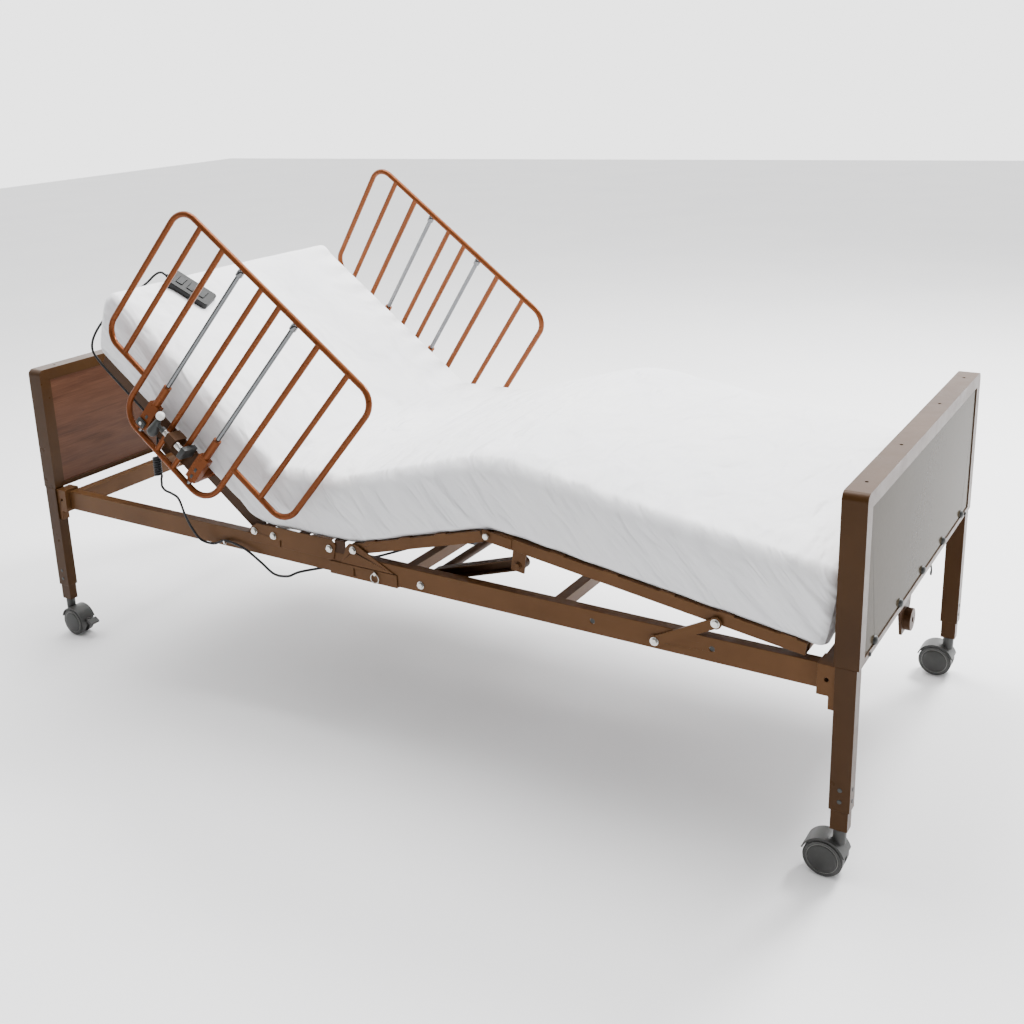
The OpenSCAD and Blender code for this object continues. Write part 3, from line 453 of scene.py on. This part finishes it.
# Nodes whose edges stay as they are, and edge roundings wider than the usual one
PLAIN_NODES = {"cord_lead", "cord_coil", "cord_tail", "mattress_back", "mattress_seat", "mattress_thigh",
               "mattress_foot", "quick_pins", "cable_hooks"}
USUAL_BEVEL = 0.0009
BEVELS = {"head_end_frame": 0.0015, "foot_end_frame": 0.0015, "handset": 0.003, "control_box": 0.002}


def give(piece, slot_name, material=None):
    """A piece's slot, with the slot's own finish unless another is given."""
    piece.data.materials.clear()
    piece.data.materials.append(material or MATERIALS[slot_name])
    return piece


for name, node_object in nodes.items():
    give(node_object, SLOT_OF[name])
    if name not in PLAIN_NODES:
        soften(node_object, BEVELS.get(name, USUAL_BEVEL))


# ------------------------------------------------------------------ the pendant cord
# Its course in millimetres: from the control box to the foot of the coil, and from the coil to the handset
LEAD = [(-10, -64, 350), (-10, -74, 350), (-10, -84, 350), (-50, -180, 351), (-105, -300, 352),
        (-160, -390, 354), (-205, -440, 351), (-235, -452, 338), (-277, -453, 336), (-318, -452, 358),
        (-372, -449, 382), (-434, -446, 389), (-472, -450, 376), (-504, -460, 384), (-522, -468, 412),
        (-537, -473, 448), (-551, -475, 488), (-574, -475, 499), (-596, -474, 503), (-606, -474, 512),
        (-606, -474, 520), (-606, -474, 528)]
TAIL = [(-606, -474, 598), (-606, -474, 608), (-606, -474, 617), (-611.8, -466, 631), (-627.4, -452, 646.8),
        (-651.2, -440, 665), (-698.8, -436, 701.6), (-770.2, -436, 756.4), (-823.9, -437, 801.3),
        (-846.8, -436, 834), (-843.4, -420, 873), (-830.9, -380, 913.8), (-815.9, -320, 946.5),
        (-803.2, -270, 974.5), (-795.3, -251, 989.8), (-784.2, -243.5, 997.7), (-777.2, -237.6, 998),
        (-772.1, -235, 994.1), (-766.9, -232.3, 990.1)]
CORD_R = 0.003
COIL_TURNS = 8
COIL_R = 7.9 * MM


def coil_points(foot, height, turns, radius):
    """A close coil wound on a cylinder: it leaves the straight cord, and meets it again, in an easy bend."""
    step = 0.0014
    bend = 12 * MM
    slope = 0.2
    for _ in range(12):
        slope = math.atan2(height - 2 * bend * math.cos(slope),
                           turns * 2 * math.pi * radius - 2 * bend * (1 - math.sin(slope)))
    across, up = bend * (1 - math.sin(slope)), bend * math.cos(slope)
    route = []
    for k in range(8):
        tilt = math.pi / 2 - (math.pi / 2 - slope) * k / 8
        route.append((bend * (1 - math.sin(tilt)), bend * math.cos(tilt)))
    wound = turns * 2 * math.pi * radius
    middle = round((wound - 2 * across) / step)
    for k in range(middle + 1):
        share = k / middle
        route.append((across + (wound - 2 * across) * share, up + (height - 2 * up) * share))
    route += [(wound - s, height - z) for s, z in reversed(route[:8])]
    axis = Vector(foot) - Vector((radius, 0, 0))
    return [axis + Vector((radius * math.cos(s / radius), radius * math.sin(s / radius), z))
            for s, z in route]


def make_cord():
    """The cord in one piece at its full length."""
    lead = curve_points([Vector(p) * MM for p in LEAD])
    tail = curve_points([Vector(p) * MM for p in TAIL])
    coil = coil_points(lead[-1], (tail[0] - lead[-1]).length, COIL_TURNS, COIL_R)
    path = lead[:-1] + coil + tail[1:]
    cord = tube_along("pendant_cord", path, CORD_R, 12)
    give(cord, "cord_sheath")
    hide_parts("cord_lead", "cord_coil", "cord_tail")
    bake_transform(cord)


make_cord()


# ------------------------------------------------------------------ the mattress
def fillet_path(corners, reaches):
    """Points along straight runs joined by round corners, evenly close together."""
    step = 0.004
    out = [corners[0]]
    for i in range(1, len(corners) - 1):
        before = (corners[i] - corners[i - 1]).normalized()
        after = (corners[i + 1] - corners[i]).normalized()
        turn = math.atan2(before.x * after.y - before.y * after.x, before.dot(after))
        reach = reaches[i - 1]
        radius = reach / math.tan(abs(turn) / 2)
        start = corners[i] - before * reach
        inward = Vector((-before.y, before.x)) * (1 if turn > 0 else -1)
        count = max(8, int(radius * abs(turn) / step))
        for k in range(count + 1):
            a = abs(turn) * k / count
            out.append(start + radius * (math.sin(a) * before + (1 - math.cos(a)) * inward))
    return out + [corners[-1]]


def meet(p, d, q, e):
    """Where the line through p along d meets the line through q along e."""
    across = d.x * e.y - d.y * e.x
    return p + d * (((q.x - p.x) * e.y - (q.y - p.y) * e.x) / across)


def flat(matrix, x, z):
    """A point of a section's own frame, as (x, z) of the bed's."""
    point = matrix @ Vector((x, 0, z))
    return Vector((point.x, point.z))


# The mattress ends along the back and foot sections, and the underside's line over the decks
HEAD_END, FOOT_END = -0.644, 0.720
back_a, back_b = flat(BACK, HEAD_END, 0.023), flat(BACK, -0.05, 0.023)
seat_a, seat_b = Vector((-0.30, 0.453)), Vector((-0.08, 0.453))
thigh_a, thigh_b = flat(THIGH, 0.05, 0.018), flat(THIGH, 0.32, 0.018)
foot_a, foot_b = flat(FOOT, 0.05, 0.018), flat(FOOT, FOOT_END, 0.016)
FOLD_1 = meet(back_a, back_b - back_a, seat_a, seat_b - seat_a)
FOLD_2 = meet(seat_a, seat_b - seat_a, thigh_a, thigh_b - thigh_a)
FOLD_3 = meet(thigh_a, thigh_b - thigh_a, foot_a, foot_b - foot_a) + Vector((0, 0.004))
under = fillet_path([back_a, FOLD_1, FOLD_2, FOLD_3, foot_b], [0.050, 0.040, 0.060])
under_xy = np.array([(p.x, p.y) for p in under])
under_s = np.concatenate([[0], np.cumsum(np.linalg.norm(np.diff(under_xy, axis=0), axis=1))])
UNDER_L = float(under_s[-1])
EVEN_S = np.arange(-0.3, UNDER_L + 0.3, 0.004)


def even_heading():
    """The underside's heading, averaged over the stretch that stiff foam bends in."""
    s = np.clip(EVEN_S, 0.004, UNDER_L - 0.004)
    ahead = [np.interp(s + 0.004, under_s, under_xy[:, k]) - np.interp(s - 0.004, under_s, under_xy[:, k])
             for k in (0, 1)]
    heading = np.arctan2(ahead[1], ahead[0])
    span = 45
    window = np.hanning(span + 2)[1:-1]
    padded = np.pad(heading, span // 2, mode="edge")
    return np.convolve(padded, window / window.sum(), mode="valid")


HEADING = even_heading()


def under_at(s):
    """Point of the mattress underside at arc length s, and the way up through the foam there."""
    inside = min(max(s, 0), UNDER_L)
    point = np.array([np.interp(inside, under_s, under_xy[:, 0]), np.interp(inside, under_s, under_xy[:, 1])])
    heading = np.interp(s, EVEN_S, HEADING)
    along = np.array([math.cos(heading), math.sin(heading)])
    return point + along * (s - inside), np.array([-along[1], along[0]])


def s_of(x):
    """Arc length where the underside reaches a given x."""
    return float(np.interp(x, under_xy[:, 0], under_s))


CUTS = (s_of(-0.190), s_of(0.137))


def grid_lines(low, high, edge, spacing, fixed=()):
    """Grid coordinates, close together near both ends and passing through the fixed ones."""
    close = [edge * (1 - math.tan(math.pi / 4 * (1 - k / 4))) for k in range(5)]
    stops = sorted([low + edge, *fixed, high - edge])
    out = [low + c for c in close[:-1]]
    for a, b in zip(stops, stops[1:]):
        count = max(1, round((b - a) / spacing))
        out += [a + (b - a) * k / count for k in range(count)]
    return out + [high - c for c in reversed(close)]


def smoothstep(x):
    """Rises softly from 0 to 1 as x does."""
    x = min(1.0, max(0.0, x))
    return x * x * (3 - 2 * x)


FOLD_S = (s_of(FOLD_1.x), s_of(FOLD_2.x), s_of(FOLD_3.x))
FOLD_REACH = (0.17, 0.12, 0.12)
# The foam's edge rounding, its droop over the slats' ends, its crown, and how far its head end leans back
EDGE_R = 0.030
DROOP = 0.011
CROWN = 0.005
HEAD_LEAN = 0.052


def mattress_point(u, y, n):
    """A point of the foam block, bent to lie along the sections, with its cover's slack."""
    q = Vector((min(max(u, EDGE_R), UNDER_L - EDGE_R),
                min(max(y, EDGE_R - MATTRESS_W / 2), MATTRESS_W / 2 - EDGE_R),
                min(max(n, EDGE_R), MATTRESS_T - EDGE_R)))
    out = (Vector((u, y, n)) - q).normalized()
    p = q + EDGE_R * out
    near_fold = max(math.exp(-((p.x - f) / w) ** 2) for f, w in zip(FOLD_S, FOLD_REACH))
    tilt = math.radians(52)
    across = p.x * math.sin(tilt) + p.z * math.cos(tilt)
    along = p.x * math.cos(tilt) - p.z * math.sin(tilt)
    seed = 3.1 if p.y < 0 else 11.7
    side_fold = noise.noise(Vector((across / 0.036, along / 0.17, seed))) + \
        0.5 * noise.noise(Vector((across / 0.017, along / 0.10, seed + 5)))
    top_fold = noise.noise(Vector((p.x / 0.040, p.y / 0.32, 21.3)))
    soft = noise.noise(Vector((p.x / 0.22, p.y / 0.20, p.z / 0.15)))
    side = abs(out.y) * math.copysign(1, out.y)
    p.z -= DROOP * smoothstep((abs(p.y) - 0.375) / 0.04) * (1 - p.z / MATTRESS_T)
    p.y += side * (0.0034 + 0.0044 * near_fold) * side_fold
    p.y += side * 0.005 * (1 - (2 * p.z / MATTRESS_T - 1) ** 2)
    top = max(0.0, out.z)
    p.z += top * (CROWN * (1 - (2 * p.y / MATTRESS_W) ** 4) + 0.002 * soft + 0.0025 * near_fold * top_fold)
    end = abs(out.x) * math.copysign(1, out.x)
    p.x += end * (0.006 * (1 - (2 * p.z / MATTRESS_T - 1) ** 2) + 0.002 * soft)
    s = p.x - HEAD_LEAN * (p.z / MATTRESS_T) * (1 - smoothstep(p.x / 0.45))
    base, up = under_at(s)
    place = base + up * p.z
    return (place[0], p.y, place[1])


def block_grid():
    """The surface of a gridded block: points with their arc-length attribute, and quads."""
    us = grid_lines(0, UNDER_L, EDGE_R, 0.014, CUTS)
    ys = grid_lines(-MATTRESS_W / 2, MATTRESS_W / 2, EDGE_R, 0.015)
    ns = grid_lines(0, MATTRESS_T, EDGE_R, 0.013)
    index, points, along = {}, [], []

    def corner(i, j, k):
        if (i, j, k) not in index:
            index[i, j, k] = len(points)
            points.append(mattress_point(us[i], ys[j], ns[k]))
            along.append(us[i])
        return index[i, j, k]
    faces = []
    a, b, c = len(us) - 1, len(ys) - 1, len(ns) - 1
    for i in range(a):
        for j in range(b):
            faces.append((corner(i, j, 0), corner(i, j + 1, 0), corner(i + 1, j + 1, 0), corner(i + 1, j, 0)))
            faces.append((corner(i, j, c), corner(i + 1, j, c), corner(i + 1, j + 1, c), corner(i, j + 1, c)))
        for k in range(c):
            faces.append((corner(i, 0, k), corner(i + 1, 0, k), corner(i + 1, 0, k + 1), corner(i, 0, k + 1)))
            faces.append((corner(i, b, k), corner(i, b, k + 1), corner(i + 1, b, k + 1), corner(i + 1, b, k)))
    for j in range(b):
        for k in range(c):
            faces.append((corner(0, j, k), corner(0, j, k + 1), corner(0, j + 1, k + 1), corner(0, j + 1, k)))
            faces.append((corner(a, j, k), corner(a, j + 1, k), corner(a, j + 1, k + 1), corner(a, j, k + 1)))
    return points, along, faces


def press_handset(points):
    """The foam gives way under the handset lying on it."""
    turn = np.array(HANDSET.inverted())
    local = points @ turn[:3, :3].T + turn[:3, 3]
    outside = np.maximum(np.maximum(np.abs(local[:, 0]) - 0.064, np.abs(local[:, 1]) - 0.036), 0)
    sunk = np.maximum(local[:, 2] + 0.001 - outside * 0.35, 0) * (np.abs(local[:, 2]) < 0.04)
    return points - sunk[:, None] * np.array(BACK.to_3x3() @ Vector((0, 0, 1)))


# The cover settles over so many frames, and by no more than this
CLOTH_FRAMES = 20
CLOTH_REACH = 0.006


def settle(piece, low_points):
    """The cover drawn tight by the foam inside it: a cloth with pressure, held along its underside."""
    rest = np.array([v.co for v in piece.data.vertices])
    hold = piece.vertex_groups.new(name="hold")
    hold.add(low_points, 1.0, "REPLACE")
    cloth = piece.modifiers.new("cloth", "CLOTH")
    settings = cloth.settings
    settings.quality = 5
    settings.mass = 0.25
    settings.tension_stiffness = 30
    settings.compression_stiffness = 12
    settings.shear_stiffness = 8
    settings.bending_stiffness = 0.6
    settings.use_pressure = True
    settings.uniform_pressure_force = 4
    settings.shrink_min = -0.012
    settings.vertex_group_mass = "hold"
    settings.effector_weights.gravity = 0
    cloth.point_cache.frame_start = 1
    cloth.point_cache.frame_end = CLOTH_FRAMES
    for number in range(1, CLOTH_FRAMES + 1):
        scene.frame_set(number)
    graph = bpy.context.evaluated_depsgraph_get()
    moved = np.array([v.co for v in piece.evaluated_get(graph).data.vertices])
    piece.modifiers.remove(cloth)
    piece.vertex_groups.remove(hold)
    scene.frame_set(1)
    step = press_handset(moved) - rest
    size = np.linalg.norm(step, axis=1, keepdims=True)
    step = step * (CLOTH_REACH * np.tanh(size / CLOTH_REACH) / np.maximum(size, 1e-9))
    piece.data.vertices.foreach_set("co", (rest + step).astype(np.float32).ravel())
    piece.data.update()


def make_mattress():
    """The mattress, cut in three where no fold is."""
    points, along, faces = block_grid()
    whole = object_from("mattress_whole", points, faces)
    settle(whole, [i for i, point in enumerate(points) if under_distance(point) < 0.004])
    line = whole.data.attributes.new("along", "FLOAT", "POINT")
    line.data.foreach_set("value", np.array(along, np.float32))
    smoother = whole.modifiers.new("smoother", "SUBSURF")
    smoother.levels = smoother.render_levels = 1
    graph = bpy.context.evaluated_depsgraph_get()
    fine = bpy.data.meshes.new_from_object(whole.evaluated_get(graph))
    count = len(fine.vertices)
    co = np.empty(count * 3, np.float32)
    fine.vertices.foreach_get("co", co)
    co = co.reshape(-1, 3)
    normals = np.empty(count * 3, np.float32)
    fine.vertices.foreach_get("normal", normals)
    normals = normals.reshape(-1, 3)
    s = np.empty(count, np.float32)
    fine.attributes["along"].data.foreach_get("value", s)
    quads = np.empty(len(fine.polygons) * 4, np.int32)
    fine.polygons.foreach_get("vertices", quads)
    quads = quads.reshape(-1, 4)
    middle = s[quads].mean(axis=1)
    bpy.data.objects.remove(whole)
    spans = (("mattress_back_half", 0, CUTS[0], "back_section", "bed_frame", FOLD_1, 0.115,
              ("mattress_back", "mattress_seat")),
             ("mattress_middle", CUTS[0], CUTS[1], "bed_frame", "thigh_section", FOLD_2, 0.085,
              ("mattress_thigh",)),
             ("mattress_foot_half", CUTS[1], UNDER_L, "thigh_section", "foot_section", FOLD_3, 0.100,
              ("mattress_foot",)))
    for name, low, high, first, second, fold, reach, stands_for in spans:
        chosen = quads[(middle > low) & (middle < high)]
        used, back = np.unique(chosen, return_inverse=True)
        part_faces = [tuple(int(i) for i in f) for f in back.reshape(-1, 4)]
        caps = cap_loops(part_faces)
        piece = object_from(name, co[used], part_faces + caps)
        side_normals = normals[used]
        loops = []
        for polygon in piece.data.polygons:
            is_cap = polygon.index >= len(part_faces)
            for v in polygon.vertices:
                loops.append(tuple(polygon.normal) if is_cap else tuple(float(c) for c in side_normals[v]))
        piece.data.normals_split_custom_set(loops)
        give(piece, "mattress_cover")
        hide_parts(*stands_for)
        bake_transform(piece)


def under_distance(point):
    """Height of a point above the mattress underside."""
    base, up = under_at(s_of(point[0]))
    return float((np.array([point[0], point[2]]) - base) @ up)


def cap_loops(part_faces):
    """The open edge loops of a strip of quads, as faces that close it."""
    edges = {}
    for face in part_faces:
        for a, b in zip(face, face[1:] + face[:1]):
            if (b, a) in edges:
                del edges[b, a]
            else:
                edges[a, b] = True
    following = {b: a for a, b in edges}
    loops = []
    while following:
        start, nxt = next(iter(following.items()))
        del following[start]
        loop = [start]
        while nxt != start:
            loop.append(nxt)
            nxt = following.pop(nxt)
        loops.append(tuple(loop))
    return loops


make_mattress()


# ------------------------------------------------------------------ small fittings
def put(piece, place, slot_name, body, material=None):
    """Moves a piece made in a local frame into place, gives it its finish and ties it to a body."""
    piece.data.transform(place)
    if place.determinant() < 0:
        piece.data.flip_normals()
    give(piece, slot_name, material)
    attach(piece, body)
    return piece


def ring(name, radius, wire, place):
    """A closed ring of round wire about place's own z."""
    around, across = 48, 12
    points, faces = [], []
    for i in range(around):
        a = 2 * math.pi * i / around
        for k in range(across):
            b = 2 * math.pi * k / across
            far = radius + wire * math.cos(b)
            points.append(place @ Vector((far * math.cos(a), far * math.sin(a), wire * math.sin(b))))
    for i in range(around):
        for k in range(across):
            nxt, up = (i + 1) % around, (k + 1) % across
            faces.append((i * across + k, nxt * across + k, nxt * across + up, i * across + up))
    return object_from(name, points, faces)


def dome(name, radius, height, place):
    """A low round dome with a soft rim, standing on place's own z = 0."""
    rim = 0.0008
    profile = [(radius, 0), (radius, rim * 0.6), (radius - rim, rim)]
    profile += [(radius * math.cos(a), rim + (height - rim) * math.sin(a))
                for a in [math.radians(14 * k) for k in range(1, 7)]]
    return turned(name, profile + [(0.0004, height)], place)


AS_MADE = Matrix.Identity(4)


def button(name, radius, height, face):
    """A dark dome on a face of the fixed frame."""
    put(dome(name, radius, height, face), AS_MADE, "knob_plastic", "bed_frame")


def facing_side(way):
    """Turns a dome to stand out to the near side (-1) or the far side (1)."""
    return Matrix.Rotation(-way * math.pi / 2, 4, "X")


def repaint(node_name, material, chosen):
    """Gives a second finish to the faces of a CAD node whose middle is in the chosen place."""
    mesh = nodes[node_name].data
    mesh.materials.append(material)
    last = len(mesh.materials) - 1
    for polygon in mesh.polygons:
        if chosen(polygon.center):
            polygon.material_index = last


# A side rail's fittings, in its own frame: x along the back section, y towards the mattress, z up the rail
ALONG_X = Matrix.Rotation(math.radians(90), 4, "Y")
POSTS = (0.226, 0.413)
POST_TOP = 0.3845
POST_CAP = [(0.0063, -0.016), (0.0082, -0.0155), (0.0088, -0.014), (0.0088, -0.0025), (0.0080, -0.001),
            (0.0063, 0)]
SLEEVE_FOOT, SLEEVE_TOP = -0.110, 0.024
SLOTS_Z = (-0.094, -0.074)
STUD_Y, STUD_Z = -0.024, -0.054
SPRING_FOOT, SPRING_L, SPRING_R = 0.2965, 0.013, 0.0066
SPRING_TURNS, SPRING_STEPS = 6, 16
SPRING_WIRE_R = 0.0009
BALL = Vector((0.264, STUD_Y, -0.032))
BALL_REACH = 0.0125
BALL_LOWEST = -0.040
STRAP = ((0.243, 0.396), (-0.036, 0.040), (-0.107, -0.030))


def release_spring(name):
    """The spring round the release knob's stud."""
    last = SPRING_TURNS * SPRING_STEPS
    coil = []
    for k in range(last + 1):
        turn = 2 * math.pi * k / SPRING_STEPS
        coil.append(Vector((SPRING_FOOT + SPRING_L * k / last, STUD_Y + SPRING_R * math.cos(turn),
                            STUD_Z + SPRING_R * math.sin(turn))))
    return tube_along(name, coil, SPRING_WIRE_R, 8)


def release_sleeve(name):
    """The ribbed sleeve that the stud slides in."""
    ribbed = [(0.004, 0.339), (0.0074, 0.3395)]
    for k in range(7):
        start = 0.341 + 0.003 * k
        ribbed += [(0.0080, start), (0.0080, start + 0.0018), (0.0070, start + 0.0022),
                   (0.0070, start + 0.0028)]
    ribbed += [(0.0074, 0.3635), (0.004, 0.364)]
    return turned(name, ribbed, Matrix.Translation((0, STUD_Y, STUD_Z)) @ ALONG_X)


def rail_fittings(side, place):
    """The fittings of one side rail."""
    guard, knob = "guard_" + side[0], "knob_" + side[0]
    for i, x in enumerate(POSTS):
        tag = side + "_" + str(i)
        top = Matrix.Translation((x, 0, POST_TOP))
        put(turned("post_cap_" + tag, POST_CAP, top), place, "chrome_post", guard)
        low = Matrix.Translation((x, 0, SLEEVE_FOOT + 0.003))
        put(ring("sleeve_lip_" + tag, 0.0102, 0.0012, low), place, "rail_paint", "back_section")
        high = Matrix.Translation((x, 0, SLEEVE_TOP - 0.0015))
        put(ring("sleeve_rim_" + tag, 0.0092, 0.0013, high), place, "rail_paint", "back_section", deck_paint)
        for k, z in enumerate(SLOTS_Z):
            # Painted shade: a thin dark box on the sleeve face stands in for each slot opening, which is not
            # cut
            slot = rounded_box("sleeve_slot_shade_" + tag + "_" + str(k), (x - 0.0035, -0.0106, z - 0.005),
                               (x + 0.0035, -0.0096, z + 0.005), 0.0004)
            put(slot, place, "knob_plastic", "back_section")
    put(release_spring("release_spring_" + side), place, "bright_steel", knob)
    put(release_sleeve("release_sleeve_" + side), place, "bright_steel", "back_section")
    clip = rounded_box("release_clip_" + side, (0.362, -0.037, -0.070), (0.376, 0.012, -0.040), 0.002)
    put(clip, place, "knob_plastic", "back_section")
    latch = rounded_box("corner_clip_" + side, (0.211, -0.0165, -0.104), (0.236, -0.0095, -0.086), 0.0015)
    put(latch, place, "knob_plastic", "back_section")
    screw = Matrix.Translation((0.224, -0.016, -0.095)) @ facing_side(-1)
    put(dome("corner_screw_" + side, 0.0042, 0.0024, screw), place, "bright_steel", "back_section",
        white_plastic)
    undo = place.inverted()
    repaint("release_knob_" + side, white_plastic,
            lambda c: (undo @ c - BALL).length < BALL_REACH and (undo @ c).z > BALL_LOWEST)
    repaint("guard_mounts", deck_paint,
            lambda c: all(low < v < high for v, (low, high) in zip(undo @ c, STRAP)))


def caster_fittings(tag):
    """Domed discs with a pale rim on both faces of a caster's twin wheels."""
    low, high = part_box("caster_wheels_" + tag)
    x, y, z = (low.x + high.x) / 2, (low.y + high.y) / 2, (low.z + high.z) / 2
    half = (high.y - low.y) / 2
    for k, way in enumerate((-1, 1)):
        face = Matrix.Translation((x, y + way * (half - 0.0006), z)) @ facing_side(way)
        disc = dome("wheel_disc_" + tag + "_" + str(k), 0.0285, 0.0032, face)
        put(disc, AS_MADE, "caster_plastic", "wheels_" + tag)
        raised = face @ Matrix.Translation((0, 0, 0.0008))
        rim = ring("wheel_rim_" + tag + "_" + str(k), 0.0292, 0.0007, raised)
        put(rim, AS_MADE, "wheel_tread", "wheels_" + tag, pale_rim)


NOTCHES_Y = (-0.356, -0.178, 0, 0.178, 0.356)
STUDS_Y = (-0.393, 0.393)
LEG_X, LEG_Y = 1.0675, 0.442
LEG_HALF = 0.0148
LEG_FACE_X = 1.0863
PLUGS_Z = (0.162, 0.186)
PLUG_R, PLUG_H = 0.0042, 0.0012
HOOK = [(1.086, 0.086, 0.430), (1.088, 0.086, 0.419), (1.0885, 0.086, 0.410), (1.0875, 0.089, 0.403),
        (1.086, 0.094, 0.402), (1.085, 0.098, 0.406)]


def end_fittings(sign):
    """Buffers and studs along a bed end's lower edge, the plugs in its legs and, at the foot end, a hook."""
    tag = "foot" if sign > 0 else "head"
    out = Matrix.Rotation(sign * math.pi / 2, 4, "Y")
    for k, y in enumerate(NOTCHES_Y):
        button("buffer_" + tag + "_" + str(k), 0.0095, 0.0075,
               Matrix.Translation((sign * 1.0875, y, 0.4475)) @ out)
    for k, y in enumerate(STUDS_Y):
        button("stud_" + tag + "_" + str(k), 0.005, 0.004,
               Matrix.Translation((sign * 1.0895, y, 0.4365)) @ out)
    for k, side in enumerate((-1, 1)):
        y = side * LEG_Y
        for j, z in enumerate(PLUGS_Z):
            number = str(k) + str(j)
            button("leg_plug_" + tag + "_" + number, PLUG_R, PLUG_H,
                   Matrix.Translation((sign * LEG_X, y + side * LEG_HALF, z)) @ facing_side(side))
            button("leg_cap_" + tag + "_" + number, PLUG_R, PLUG_H,
                   Matrix.Translation((sign * LEG_FACE_X, y, z)) @ out)
    if sign > 0:
        hook = tube_along("cord_hook_foot", curve_points(HOOK), 0.0019, 10)
        put(hook, AS_MADE, "bright_steel", "bed_frame", MATERIALS["knob_plastic"])


# The side rails' round holes, which are shut by plugs, and the faces of the bolt heads
RAIL_HOLES_X = (0.560, 0.812)
RAIL_HOLE_Z, RAIL_HOLE_Y = 0.398, 0.4345
KNEE_BOLT_Y = 0.4398
LINK_BOLT_Y = 0.4426

rail_fittings("near", GUARD)
rail_fittings("far", FAR_RAIL)
for tag in ("hn", "hf", "fn", "ff"):
    caster_fittings(tag)
end_fittings(-1)
end_fittings(1)
for x in RAIL_HOLES_X:
    for way in (-1, 1):
        button("rail_plug_" + str(round(x * 1000)) + "_" + str(way + 1), 0.0054, 0.001,
               Matrix.Translation((x, way * RAIL_HOLE_Y, RAIL_HOLE_Z)) @ facing_side(way))
repaint("thigh_frame", MATERIALS["bright_steel"], lambda c: abs(c.y) > KNEE_BOLT_Y)
for side in ("near", "far"):
    repaint("foot_link_" + side, MATERIALS["bright_steel"], lambda c: abs(c.y) > LINK_BOLT_Y)


# ------------------------------------------------------------------ floor, light and background
FLOOR_HALF = 14
BRIGHT_WAY = Vector((-0.45, 0.86, 0.24)).normalized()
DIM, BRIGHT = 0.30, 3.0
AIM = Vector((0, 0, 0.4))
# Each lamp's name, place, width and power
LAMPS = (("key", (1.6, 3.2, 3.6), 1.6, 420), ("top", (-0.6, 0.6, 3.6), 2.4, 170),
         ("front", (3.4, -1.6, 2.2), 1.6, 12))


def make_stage():
    """A pale floor in a white studio that is bright beyond the far side and dim at the near side."""
    h = FLOOR_HALF
    floor = object_from("floor", [(-h, -h, 0), (h, -h, 0), (h, h, 0), (-h, h, 0)], [(0, 1, 2, 3)], False)
    floor.data.materials.append(pale_floor())
    world = bpy.data.worlds.new("studio")
    world.use_nodes = True
    tree = world.node_tree
    where = add(tree, "ShaderNodeTexCoord")
    toward = add(tree, "ShaderNodeVectorMath", operation="DOT_PRODUCT")
    toward.inputs[1].default_value = BRIGHT_WAY
    tree.links.new(where.outputs["Generated"], toward.inputs[0])
    glow = add(tree, "ShaderNodeMapRange", interpolation_type="SMOOTHSTEP")
    for key, value in (("From Min", -0.35), ("From Max", 0.55), ("To Min", DIM), ("To Max", BRIGHT)):
        glow.inputs[key].default_value = value
    tree.links.new(toward.outputs["Value"], glow.inputs["Value"])
    background = tree.nodes["Background"]
    background.inputs["Color"].default_value = (1, 1, 1, 1)
    tree.links.new(glow.outputs["Result"], background.inputs["Strength"])
    scene.world = world
    for name, where, size, power in LAMPS:
        data = bpy.data.lights.new(name, "AREA")
        data.shape = "DISK"
        data.size = size
        data.energy = power
        lamp = bpy.data.objects.new(name, data)
        lamp.location = where
        lamp.rotation_euler = (AIM - Vector(where)).to_track_quat("-Z", "Y").to_euler()
        scene.collection.objects.link(lamp)


make_stage()
